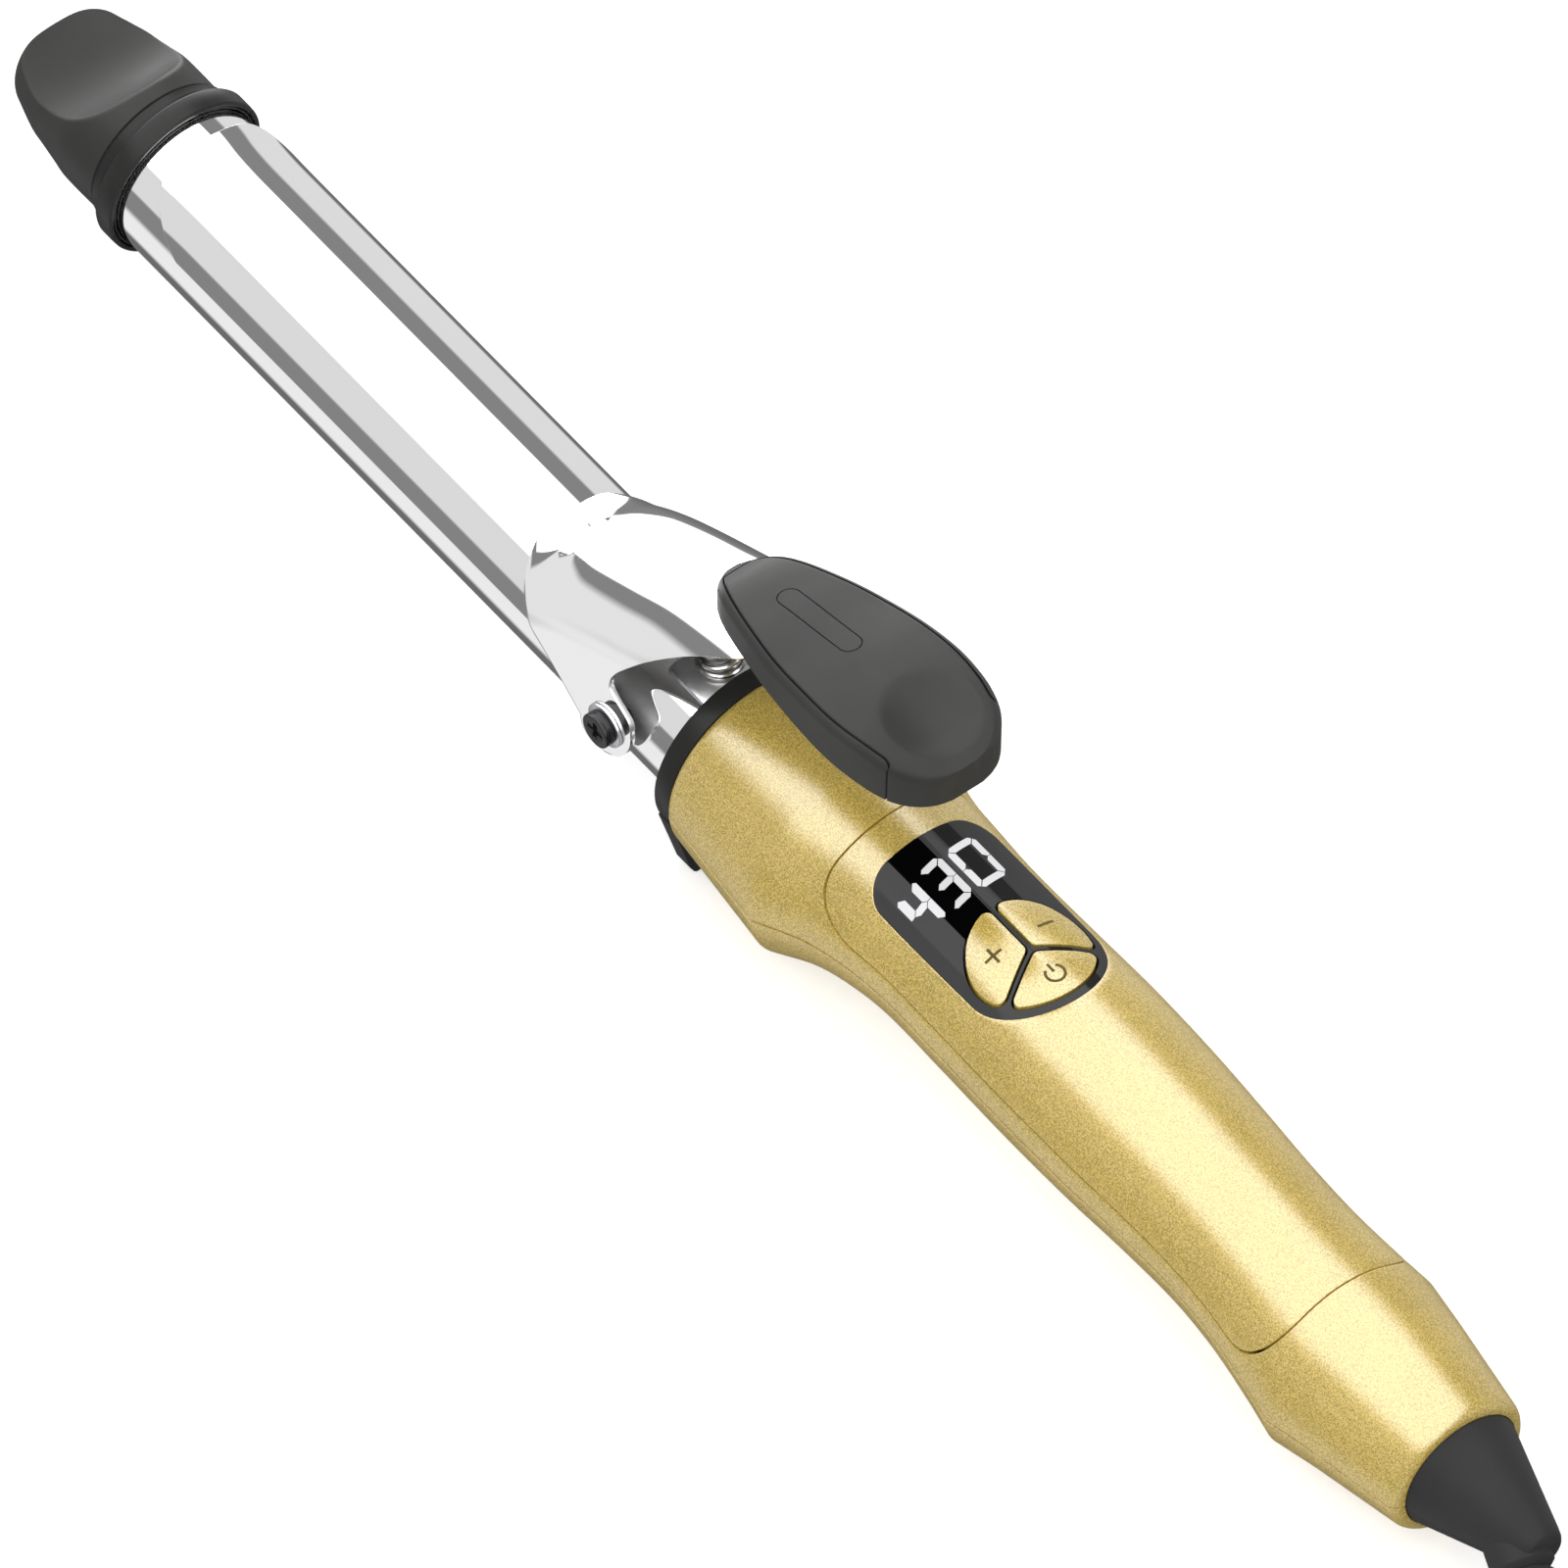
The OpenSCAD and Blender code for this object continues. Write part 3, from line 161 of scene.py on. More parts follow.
class IronColours(bpy.types.PropertyGroup):
    paint: colour("Paint", "Deep tone of the flake paint", (0.34, 0.24, 0.03))
    flake: colour("Flake", "Pale tone of the flakes in the paint", (0.71, 0.52, 0.125))
    plastic: colour("Plastic", "Lever, tip and collar", (0.037, 0.037, 0.036))
    window: colour("Window", "Gloss window of the display", (0.006, 0.006, 0.007))
    digits: colour("Digits", "Lit segments of the display", (0.72, 0.72, 0.735))
    marks: colour("Marks", "Signs printed on the buttons", (0.12, 0.09, 0.03))
    chrome: colour("Chrome", "Plating of the barrel and clip", (0.96, 0.96, 0.96))
    rubber: colour("Rubber", "Cord, boot, strain relief and plug", (0.031, 0.031, 0.032))


class IronDetails(bpy.types.PropertyGroup):
    seam: length("Seam", "Gap round the handle's panel", 0.0003)
    ease: length("Eased edge", "Rounding of the moulded edges", 0.0003)
    grain: length("Grain", "Depth of the moulded grain", 0.000012)
    digit: length("Digit height", "Height of the display's digits", 0.0088)


class IronStudio(bpy.types.PropertyGroup):
    distance: length("Camera distance", "From the camera to the iron", 9)
    picture: length("Picture width", "Width of the view at the iron", 0.2312)
    daylight: FloatProperty(name="Daylight", description="Strength of the even light", default=0.78)


def colours():
    return bpy.context.scene.iron_colours


def details():
    return bpy.context.scene.iron_details


# ---- curves ---------------------------------------------------------------------------------

def mix(a, b, t):
    return a + (b - a) * t


def steps(a, b, n):
    return [mix(a, b, i / n) for i in range(n + 1)]


def smooth(t):
    t = min(max(t, 0), 1)
    return t * t * (3 - 2 * t)


def curve(knots, x):
    """The smooth curve through the [x, y] knots, as the frame's source draws it."""
    last = len(knots) - 1

    def slope(i):
        a, b = max(i - 1, 0), min(i + 1, last)
        return (knots[b][1] - knots[a][1]) / (knots[b][0] - knots[a][0])

    i = 0
    while i < last - 1 and x > knots[i + 1][0]:
        i += 1
    h = knots[i + 1][0] - knots[i][0]
    t = (x - knots[i][0]) / h
    return (
        (2 * t**3 - 3 * t**2 + 1) * knots[i][1]
        + (t**3 - 2 * t**2 + t) * slope(i) * h
        + (3 * t**2 - 2 * t**3) * knots[i + 1][1]
        + (t**3 - t**2) * slope(i + 1) * h
    )


def round_off(t, r):
    """Fall of a quarter round of radius r at a distance t from its edge."""
    return 0 if t >= r else r - math.sqrt(max(0, r * r - (r - max(t, 0)) ** 2))


def polar(r, degrees):
    return r * math.cos(math.radians(degrees)), r * math.sin(math.radians(degrees))


# ---- making pieces --------------------------------------------------------------------------

def alone(piece=None):
    """Deselects everything but the piece, which becomes the active one."""
    bpy.ops.object.select_all(action="DESELECT")
    if piece:
        piece.select_set(True)
        bpy.context.view_layer.objects.active = piece


def named(name):
    piece = bpy.context.active_object
    piece.name = name
    bpy.ops.object.transform_apply(location=True, rotation=True, scale=True)
    return piece


def outward(piece):
    alone(piece)
    bpy.ops.object.mode_set(mode="EDIT")
    bpy.ops.mesh.select_all(action="SELECT")
    bpy.ops.mesh.normals_make_consistent(inside=False)
    bpy.ops.object.mode_set(mode="OBJECT")
    return piece


def slab(name, columns, rows, outer, inner, ring=False):
    """A closed sheet: a grid is extruded once, and its faces are laid on outer(i, j) and inner(i, j).
    As a ring, its last column meets its first."""
    alone()
    bpy.ops.mesh.primitive_grid_add(
        x_subdivisions=columns, y_subdivisions=rows, size=1, location=(0.5, 0.5, 0)
    )
    piece = named(name)
    if ring:
        for vertex in piece.data.vertices:
            turn = 2 * math.pi * vertex.co.x
            out = 1 + vertex.co.y
            vertex.co = (out * math.cos(turn), out * math.sin(turn), 0)
    bpy.ops.object.mode_set(mode="EDIT")
    bpy.ops.mesh.select_all(action="SELECT")
    if ring:
        bpy.ops.mesh.remove_doubles(threshold=1e-5)
    bpy.ops.mesh.extrude_region_move(TRANSFORM_OT_translate={"value": (0, 0, 1)})
    bpy.ops.object.mode_set(mode="OBJECT")
    for vertex in piece.data.vertices:
        x, y, z = vertex.co
        if ring:
            x, y = math.atan2(y, x) / (2 * math.pi) % 1, math.hypot(x, y) - 1
        i, j = round(x * columns), round(y * rows)
        if ring:
            i %= columns
        vertex.co = outer(i, j) if z > 0.5 else inner(i, j)
    return outward(piece)


def turned(name, rings, sides=96, closed=False):
    """A turned piece: a circle is drawn out along X through its [x, radius] rings.
    Its ends are filled, unless the rings come back to the first one."""
    x, r = rings[0]
    alone()
    bpy.ops.mesh.primitive_circle_add(
        vertices=sides, radius=r, location=(x, 0, 0), rotation=(0, math.pi / 2, 0)
    )
    piece = named(name)
    bpy.ops.object.mode_set(mode="EDIT")
    bpy.ops.mesh.select_all(action="SELECT")
    if not closed:
        bpy.ops.mesh.edge_face_add()
        bpy.ops.mesh.select_all(action="SELECT")
        bpy.ops.mesh.select_mode(type="EDGE")
    for x1, r1 in rings[1:]:
        bpy.ops.mesh.extrude_edges_move(TRANSFORM_OT_translate={"value": (x1 - x, 0, 0)})
        bpy.ops.transform.resize(value=(1, r1 / r, r1 / r))
        x, r = x1, r1
    if not closed:
        bpy.ops.mesh.edge_face_add()
    bpy.ops.mesh.select_mode(type="VERT")
    bpy.ops.mesh.select_all(action="SELECT")
    bpy.ops.mesh.remove_doubles(threshold=1e-4)
    bpy.ops.object.mode_set(mode="OBJECT")
    return outward(piece)


def modify(piece, kind, **settings):
    """Adds one modifier to the piece and applies it."""
    alone(piece)
    modifier = piece.modifiers.new(kind.lower(), kind)
    for key, value in settings.items():
        setattr(modifier, key, value)
    bpy.ops.object.modifier_apply(modifier=modifier.name)
    return piece


def ease(piece, width, segments=2, angle=35):
    """Rounds the piece's sharp edges."""
    return modify(
        piece, "BEVEL", width=width, segments=segments, limit_method="ANGLE",
        angle_limit=math.radians(angle), use_clamp_overlap=True, miter_outer="MITER_ARC",
    )


def cut(piece, cutter):
    modify(piece, "BOOLEAN", operation="DIFFERENCE", object=cutter, solver="EXACT")
    bpy.data.objects.remove(cutter)
    return piece


def join(name, pieces):
    """One object from several closed pieces."""
    alone(pieces[0])
    for piece in pieces:
        piece.select_set(True)
    bpy.ops.object.join()
    bpy.context.active_object.name = name
    return bpy.context.active_object


def from_node(name, node, width=0, segments=2):
    """A copy of a node of the frame with its corners merged, its flats joined and its edges eased."""
    piece = NODES[node].copy()
    piece.data = NODES[node].data.copy()
    piece.parent = None
    piece.name = name
    for key in list(piece.keys()):
        del piece[key]
    bpy.context.scene.collection.objects.link(piece)
    piece.data.materials.clear()
    alone(piece)
    bpy.ops.object.mode_set(mode="EDIT")
    bpy.ops.mesh.select_all(action="SELECT")
    bpy.ops.mesh.remove_doubles(threshold=2e-6)
    bpy.ops.mesh.dissolve_limited(angle_limit=math.radians(0.4))
    bpy.ops.object.mode_set(mode="OBJECT")
    bpy.ops.mesh.customdata_custom_splitnormals_clear()
    if width:
        ease(piece, width / 1000, segments)
    return piece


def settle(piece, body, finish, *nodes, place=REST, angle=30, slot=None):
    """Sets the piece down in the frame with its finish, in place of the nodes, on its body."""
    alone(piece)
    if place:
        piece.matrix_world = place @ piece.matrix_world
        bpy.ops.object.transform_apply(location=True, rotation=True, scale=True)
    bpy.ops.object.shade_smooth_by_angle(angle=math.radians(angle), keep_sharp_edges=False)
    piece.data.materials.clear()
    piece.data.materials.append(finish)
    if body:
        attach(piece, body)
    if nodes:
        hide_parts(*nodes)
    return piece


# ---- finishes -------------------------------------------------------------------------------

def add(tree, kind, *feeds, out=0, settings=None, **values):
    """Adds a node with its settings. Feeds go to its sockets in order, and values to those they name."""
    node = tree.nodes.new("ShaderNode" + kind)
    for key, value in (settings or {}).items():
        setattr(node, key, value)
    for socket, value in zip(node.inputs, feeds):
        put(tree, socket, value)
    for name, value in values.items():
        put(tree, node.inputs[name.replace("_", " ").title()], value)
    return Field(tree, node.outputs[out])


def blend(tree, factor, a, b):
    """Mixes two colours. The colours' sockets of a Mix node are its seventh and eighth."""
    node = tree.nodes.new("ShaderNodeMix")
    node.data_type = "RGBA"
    for k, value in ((0, factor), (6, a), (7, b)):
        put(tree, node.inputs[k], value)
    return Field(tree, node.outputs[2])


class Field:
    """A number that varies over a finish, so that a pattern is written as a sum."""

    def __init__(self, tree, socket):
        self.tree = tree
        self.socket = socket

    def math(self, operation, *values):
        return add(self.tree, "Math", *values, settings={"operation": operation})

    def __add__(self, other):
        return self.math("ADD", self, other)

    def __sub__(self, other):
        return self.math("SUBTRACT", self, other)

    def __rsub__(self, other):
        return self.math("SUBTRACT", other, self)

    def __mul__(self, other):
        return self.math("MULTIPLY", self, other)

    def __truediv__(self, other):
        return self.math("DIVIDE", self, other)

    __radd__ = __add__
    __rmul__ = __mul__

    def between(self, low, high):
        """0 at low and 1 at high, held outside them."""
        return add(self.tree, "MapRange", settings={"interpolation_type": "SMOOTHSTEP"},
            Value=self, From_Min=low, From_Max=high)


def put(tree, socket, value):
    """Gives a socket a number, a colour or a link."""
    if isinstance(value, Field):
        tree.links.new(value.socket, socket)
    elif hasattr(value, "__len__"):
        room = len(socket.default_value)
        socket.default_value = (list(value) + [1.0])[:room]
    else:
        socket.default_value = value


class Finish:
    """A finish in the making: its shader and the nodes that vary it."""

    def __init__(self, name, **sockets):
        self.material = bpy.data.materials.new(name)
        self.material.use_nodes = True
        self.tree = self.material.node_tree
        self.shader = self.tree.nodes["Principled BSDF"]
        for socket, value in sockets.items():
            put(self.tree, self.shader.inputs[socket.replace("_", " ").title()], value)

    def where(self, scale=(1, 1, 1)):
        """Object coordinates, stretched by scale."""
        point = add(self.tree, "TexCoord", out="Object")
        return add(self.tree, "Mapping", Vector=point, Scale=scale)

    def noise(self, scale, detail=2, vector=None):
        return add(self.tree, "TexNoise", Vector=vector or self.where(), Scale=scale, Detail=detail)

    def blend(self, factor, a, b):
        return blend(self.tree, factor, a, b)

    def feed(self, socket, value):
        put(self.tree, self.shader.inputs[socket], value)
        return self

    def bump(self, height, distance, strength=1.0):
        relief = add(self.tree, "Bump", Height=height, Distance=distance, Strength=strength)
        return self.feed("Normal", relief)


def shade(tone, k):
    return tuple(min(1, c * k) for c in tone[:3])


def flake_paint():
    """Flake paint under a clear coat: each flake has its own tone and turn."""
    tones = colours()
    paint = Finish("gold_flake_paint", roughness=0.5, coat_roughness=0.29)
    paint.shader.inputs["Coat IOR"].default_value = 1.9
    paint.shader.inputs["Specular IOR Level"].default_value = 0.1
    fine = paint.noise(5000, 1)
    coarse = paint.noise(3000, 1)
    cloud = paint.noise(60, 2)
    spark = (fine * 0.7 + coarse * 0.3 + cloud * 0.08 - 0.04).between(0.4, 0.6)
    paint.feed("Base Color", paint.blend(spark, tones.paint, tones.flake))
    paint.feed("Coat Weight", 0.84 + spark * 0.16)
    paint.bump(fine * 0.7 + coarse * 0.3, 0.00004, 1)
    return paint.material


WORN = 1.35


def plastic(name, tone, rough=0.46, gleam=0.08):
    """Moulded plastic with a fine grain and slightly paler, smoother patches."""
    finish = Finish(name, roughness=rough)
    finish.shader.inputs["Specular IOR Level"].default_value = gleam
    fine = finish.noise(4200, 2)
    patch = finish.noise(45, 3)
    finish.feed("Base Color", finish.blend(patch.between(0.3, 0.75), tone, shade(tone, WORN)))
    finish.feed("Roughness", rough + (fine - 0.5) * 0.14 - patch * 0.05)
    finish.bump(fine, details().grain)
    return finish.material


def reflection_painted_window(name, tone):
    """Gloss window with a painted reflection: grey zones painted into its colour, none in a black zone
    across its middle, and a dimmer painted reflection in a zone beside it.
    """
    finish = Finish(name, roughness=0.12, coat_roughness=0.05)
    finish.shader.inputs["Specular IOR Level"].default_value = 0
    spot = finish.where((1000, 1000, 1000))
    along, place = [add(finish.tree, "SeparateXYZ", spot, out=axis) for axis in "XY"]
    haze = finish.noise(220, 2)
    ahead = along.between(-52.6, -52.1)
    # Mask of the painted reflection: 0 in the black zone across the middle, 1 elsewhere
    clear = 1 - (place.between(0.3, 0.42) - place.between(5.95, 6.1)) * ahead
    # Zone where the painted reflection is dimmer
    dimmed_reflection_zone = place.between(-5.3, -5.1) - place.between(-2.4, -2.2)
    # Strength of the painted reflection, with a little random haze in it
    painted_reflection = clear * (1 - dimmed_reflection_zone * 0.62) * (0.94 + haze * 0.12)
    # Painted reflection: the black tone is lifted to grey where the mask shows it, and the coat follows
    # it
    finish.feed("Base Color", finish.blend(painted_reflection, tone, (0.062, 0.062, 0.064)))
    finish.feed("Coat Weight", painted_reflection * 0.1)
    return finish.material


def metal(name, tone, rough=0.2, brush=0.0, streak=(1, 1, 1)):
    """Plated or machined metal: faint haze, and fine lines where it was machined."""
    finish = Finish(name, metallic=1.0)
    haze = finish.noise(90, 3)
    lines = finish.noise(2400, 2, finish.where(streak))
    finish.feed("Base Color", finish.blend(haze, shade(tone, 0.97), tone))
    finish.feed("Roughness", rough + haze * rough * 0.3)
    if brush:
        finish.bump(lines, brush)
    return finish.material


def glow(name, tone):
    """Lit segment, its brightness varying a little with a noise pattern."""
    finish = Finish(name, roughness=0.4, emission_strength=1.0)
    cell = finish.noise(900, 1)
    finish.feed("Base Color", (0.02, 0.02, 0.02))
    finish.feed("Emission Color", finish.blend(cell, shade(tone, 0.94), tone))
    return finish.material


FINISHES = {}


def finish(name):
    """A finish by its name, mixed the first time that a piece asks for it."""
    tones = colours()
    if name not in FINISHES:
        FINISHES[name] = {
            "gold": flake_paint,
            "lever": lambda: plastic("grained_black", tones.plastic),
            "collar": lambda: plastic("satin_black", shade(tones.plastic, 0.6), 0.36),
            "rubber": lambda: plastic("black_rubber", tones.rubber, 0.5, gleam=0.04),
            "screw": lambda: plastic("blackened_steel", (0.012, 0.012, 0.013), 0.3, gleam=0.2),
            # The window's colour carries a painted reflection
            "window": lambda: reflection_painted_window("gloss_black_window", shade(tones.window, 0.3)),
            "digits": lambda: glow("lit_segments", tones.digits),
            "marks": lambda: plastic("printed_marks", tones.marks, 0.5),
            "chrome": lambda: metal("polished_chrome", tones.chrome, 0.035),
            "pressing": lambda: metal("pressed_steel", (0.62, 0.62, 0.62), 0.42),
            "spring": lambda: metal("spring_wire", (0.55, 0.54, 0.52), 0.18, 0.00001, (1, 1, 0.1)),
            "steel": lambda: metal("zinc_steel", (0.6, 0.6, 0.62), 0.3, 0.00001, (0.1, 1, 1)),
            "brass": lambda: metal("brass", (0.75, 0.52, 0.20), 0.22, 0.00001, (0.1, 1, 1)),
            "alloy": lambda: metal("cast_alloy", (0.62, 0.63, 0.65), 0.4, 0.00003),
            "ceramic": lambda: plastic("alumina", (0.82, 0.80, 0.75), 0.6),
            "cream": lambda: plastic("cream_nylon", (0.75, 0.71, 0.60), 0.5),
            "board": lambda: plastic("green_board", (0.02, 0.13, 0.05), 0.35),
            "parts": lambda: plastic("dark_parts", (0.03, 0.03, 0.06), 0.4),
            "lead": lambda: plastic("wire_cover", (0.72, 0.72, 0.70), 0.45),
            "sensor": lambda: plastic("amber_bead", (0.45, 0.12, 0.03), 0.25),
            "pale": lambda: plastic("display_cell", (0.6, 0.61, 0.6), 0.4),
        }[name]()
    return FINISHES[name]


# ---- handle ---------------------------------------------------------------------------------

WAIST = [(0, BULGE_R), (0.072, 16.9), (0.14, 15.75), (0.213, 15.1), (0.324, 15.2), (0.457, 15.45),
    (0.58, 15.2), (0.685, 14.6), (0.784, 14.15), (0.865, 14.4), (0.943, 15.35), (1, REAR_BULGE_R)]
RISE = [(0, BULGE_RISE), (0.072, 2.75), (0.14, 4.2), (0.213, 4.8), (0.324, 4.83), (0.457, 4.86),
    (0.58, 4.65), (0.685, 4.4), (0.784, 3.63), (0.865, 2.36), (0.943, 0.78), (1, REAR_RISE)]


def handle_r(d):
    if d <= FRONT_BULGE:
        t = (d - COLLAR_T) / (FRONT_BULGE - COLLAR_T)
        return mix(FRONT_R, BULGE_R, t) - round_off(d - COLLAR_T, SHELL_EDGE)
    if d <= REAR_BULGE:
        return curve(WAIST, (d - FRONT_BULGE) / (REAR_BULGE - FRONT_BULGE))
    t = (d - REAR_BULGE) / (HANDLE_END - REAR_BULGE)
    return mix(REAR_BULGE_R, REAR_R, t) - round_off(LIP_END - d, LIP_R)


def handle_rise(d):
    if d <= FRONT_BULGE:
        return BULGE_RISE * (d - COLLAR_T) / (FRONT_BULGE - COLLAR_T)
    if d <= REAR_BULGE:
        return curve(RISE, (d - FRONT_BULGE) / (REAR_BULGE - FRONT_BULGE))
    return REAR_RISE * max(0, 1 - (d - REAR_BULGE) / 8)


def on_handle(d, angle, depth=0):
    """The handle's surface at a distance behind the collar and an angle from its top.
    Walls thicker than the panel leave the bore open for the boot."""
    r = max(handle_r(d) - depth, SHELL_BORE if depth > PANEL_T else 0)
    z, y = polar(r, angle)
    return (-d, y, handle_rise(d) + z)


def fall_back(a, wrap, corner, free):
    """How far a panel's end falls back at angle a, towards its rounded corners."""
    t = max(0, (abs(a) / wrap - free) / (1 - free))
    return corner * (1 - math.sqrt(max(0, 1 - t * t)))


# An outline is a loop of (d, angle) points: front edge, -Y side, rear edge, +Y side
ACROSS = 48
DOWN = 70


def loop(front, rear, side):
    """A loop from functions of t in -1..1 across its ends, and of t in 0..1 along a side."""
    ends = [math.sin(math.pi / 2 * t) for t in steps(-1, 1, ACROSS)]
    points = [front(t) for t in ends[:-1]]
    points += [side(1, t) for t in steps(0, 1, DOWN)[:-1]]
    points += [rear(-t) for t in ends[:-1]]
    points += [side(-1, 1 - t) for t in steps(0, 1, DOWN)[:-1]]
    return points


def panel_loop(grow=0.0):
    wrap = PANEL_WRAP + grow * 3.7
    d0, d1 = PANEL_FRONT - grow, PANEL_REAR + grow
    front, rear = PANEL_CORNERS
    return loop(
        lambda t: (d0 + fall_back(t * wrap, wrap, front, 0.5), t * wrap),
        lambda t: (d1 - fall_back(t * wrap, wrap, rear, 0.35), t * wrap),
        lambda s, t: (mix(d0 + front, d1 - rear, t), s * wrap),
    )


def shell_loop():
    return loop(
        lambda t: (FRONT_BULGE, t * SPLIT),
        lambda t: (REAR_BULGE, t * SPLIT),
        lambda s, t: (mix(FRONT_BULGE, REAR_BULGE, t), s * SPLIT),
    )


def window_loop(grow=0.0):
    """The window's outline: rounded corners in front, a full round behind."""
    r = WINDOW_W / 2 + grow
    corner = WINDOW_CORNER + grow
    x0, x1 = WINDOW_X0 - grow, WINDOW_X1 + grow

    def front(t):
        y = r * t
        over = max(0, abs(y) - (r - corner))
        return x0 + corner - math.sqrt(max(0, corner**2 - over**2)), y

    def rear(t):
        return x1 - r + math.sqrt(max(0, r * r * (1 - t * t))), r * t

    def side(s, t):
        return mix(x0 + corner, x1 - r, t), s * r

    def angled(point):
        d, y = point
        return d, math.degrees(math.asin(y / handle_r(d)))

    return [angled(p) for p in loop(front, rear, side)]


def ring_sheet(name, near, far, rows, wall):
    """A closed sheet on the handle between two outlines."""
    def place(depth):
        def at(i, j):
            t = j / rows
            d = mix(near[i][0], far[i][0], t)
            a = mix(near[i][1], far[i][1], t)
            return on_handle(d, a, depth)
        return at
    return slab(name, len(near), rows, place(0), place(wall), ring=True)


def shell_part(name, stations, angles, wall):
    """A closed sheet on the handle over its stations and angles."""
    def place(depth):
        return lambda i, j: on_handle(stations[i], angles[j], depth)
    return slab(name, len(stations) - 1, len(angles) - 1, place(0), place(wall))


FRONT_STATIONS = [COLLAR_T + SHELL_EDGE * t for t in (0, 0.04, 0.15, 0.32, 0.55, 0.8)] + steps(
    COLLAR_T + SHELL_EDGE, FRONT_BULGE, 12)
REAR_STATIONS = steps(REAR_BULGE, LIP_END - LIP_R, 14) + [
    LIP_END - LIP_R * t for t in (0.85, 0.7, 0.55, 0.4, 0.28, 0.18, 0.1, 0.04, 0.01, 0)]
MIDDLE_STATIONS = steps(FRONT_BULGE, REAR_BULGE, 110)


class CURL_OT_handle(bpy.types.Operator):
    """Two painted shells and the top panel that is let into the upper one"""
    bl_idname = "curl.handle"
    bl_label = "Handle"

    def execute(self, context):
        gap = details().seam * 1000
        ends = [math.sin(math.pi / 2 * t) * SPLIT for t in steps(-1, 1, ACROSS)]
        upper = join("handle_upper_shell", [
            ring_sheet("shell_ring", panel_loop(gap), shell_loop(), 10, SHELL_WALL),
            shell_part("shell_front", FRONT_STATIONS, ends, SHELL_WALL),
            shell_part("shell_rear", REAR_STATIONS, ends, SHELL_WALL),
        ])
        weld(upper)
        ease(upper, details().ease * 650, 2)
        settle(upper, "iron", finish("gold"), "handle_upper", slot="gold")

        stations = FRONT_STATIONS + MIDDLE_STATIONS[1:] + REAR_STATIONS[1:]
        around = steps(SPLIT + 1.2, 360 - SPLIT - 1.2, 72)
        lower = shell_part("handle_lower_shell", stations, around, SHELL_WALL)
        ease(lower, details().ease * 400, 2)
        wells = []
        for x in SCREW_X:
            floor = handle_rise(-x) - handle_r(-x)
            cut(lower, well("well_cutter", x, floor - 2, floor + 6, WELL_R))
            wells.append(cup("screw_well", x, floor + 0.5, -7.7, WELL_R, WELL_R + 0.8))
        settle(join("handle_lower_shell", [lower] + wells), "iron", finish("gold"),
            "handle_lower", slot="gold")

        panel = ring_sheet("handle_top_panel", window_loop(0.1), panel_loop(), 44, PANEL_T)
        ease(panel, details().ease * 650, 2)
        settle(panel, "iron", finish("gold"), "handle_panel", slot="gold")
        return {"FINISHED"}


def weld(piece, reach=2e-4):
    """Merges the corners where closed sheets meet and drops the walls left between them."""
    alone(piece)
    bpy.ops.object.mode_set(mode="EDIT")
    bpy.ops.mesh.select_all(action="SELECT")
    bpy.ops.mesh.remove_doubles(threshold=reach)
    bpy.ops.mesh.select_mode(type="FACE")
    bpy.ops.mesh.select_all(action="DESELECT")
    bpy.ops.mesh.select_interior_faces()
    bpy.ops.mesh.delete(type="FACE")
    bpy.ops.mesh.select_mode(type="VERT")
    bpy.ops.object.mode_set(mode="OBJECT")
    return outward(piece)


def upright(piece, x, y=0.0):
    """Turns a piece made along X to stand along Z over [x, y]."""
    alone(piece)
    piece.matrix_world = Matrix.Translation((x, y, 0)) @ Matrix.Rotation(-math.pi / 2, 4, "Y")
    bpy.ops.object.transform_apply(location=True, rotation=True, scale=True)
    return piece


def well(name, x, low, high, r):
    return upright(turned(name, [(low, r), (high, r)], 48), x)


def cup(name, x, low, high, r_in, r_out):
    """A round well with a wall, open at its low end, and a hole for the screw in its floor."""
    rings = [(low, r_in), (low, r_out), (high + 1, r_out), (high + 1, 1.6), (high, 1.6),
        (high, r_in), (low, r_in)]
    return upright(turned(name, rings, 48, closed=True), x)


# ---- display and buttons --------------------------------------------------------------------

def on_window(x, y, lift=0.0):
    return (x, y, WINDOW_RISE + math.sqrt((WINDOW_R + lift) ** 2 - y * y))


SEGMENTS = {"0": "abcdef", "3": "abcdg", "4": "bcfg"}

# Each digit: the Y of its right edge, its width and the X of its foot there
DIGITS = (("4", 5.36, 3.86, -55.9), ("3", 0.04, 4.46, -55.28), ("0", -6.9, 5.9, -54.6))


def segment(letter, w, h, bold, gap=0.12, k=0.42):
    """Outline of one segment of a digit, as [left, up] points from the digit's lower right."""
    mid = h / 2
    if letter in "ad":
        points = [(bold + gap, h - bold), (k + gap, h - k), (2 * k + gap, h),
            (w - 2 * k - gap, h), (w - k - gap, h - k), (w - bold - gap, h - bold)]
    elif letter == "g":
        points = [(bold / 2 + gap, mid), (bold + gap, mid + bold / 2),
            (w - bold - gap, mid + bold / 2), (w - bold / 2 - gap, mid),
            (w - bold - gap, mid - bold / 2), (bold + gap, mid - bold / 2)]
    else:
        points = [(bold, h - bold - gap), (k, h - k - gap), (0, h - 2 * k - gap),
            (0, mid + gap / 2), (bold / 2, mid + gap / 2), (bold, mid + bold / 2 + gap / 2)]
    if letter in "ef":
        points = [(w - u, v) for u, v in points]
    if letter in "cde":
        points = [(u, h - v) for u, v in points]
    return points


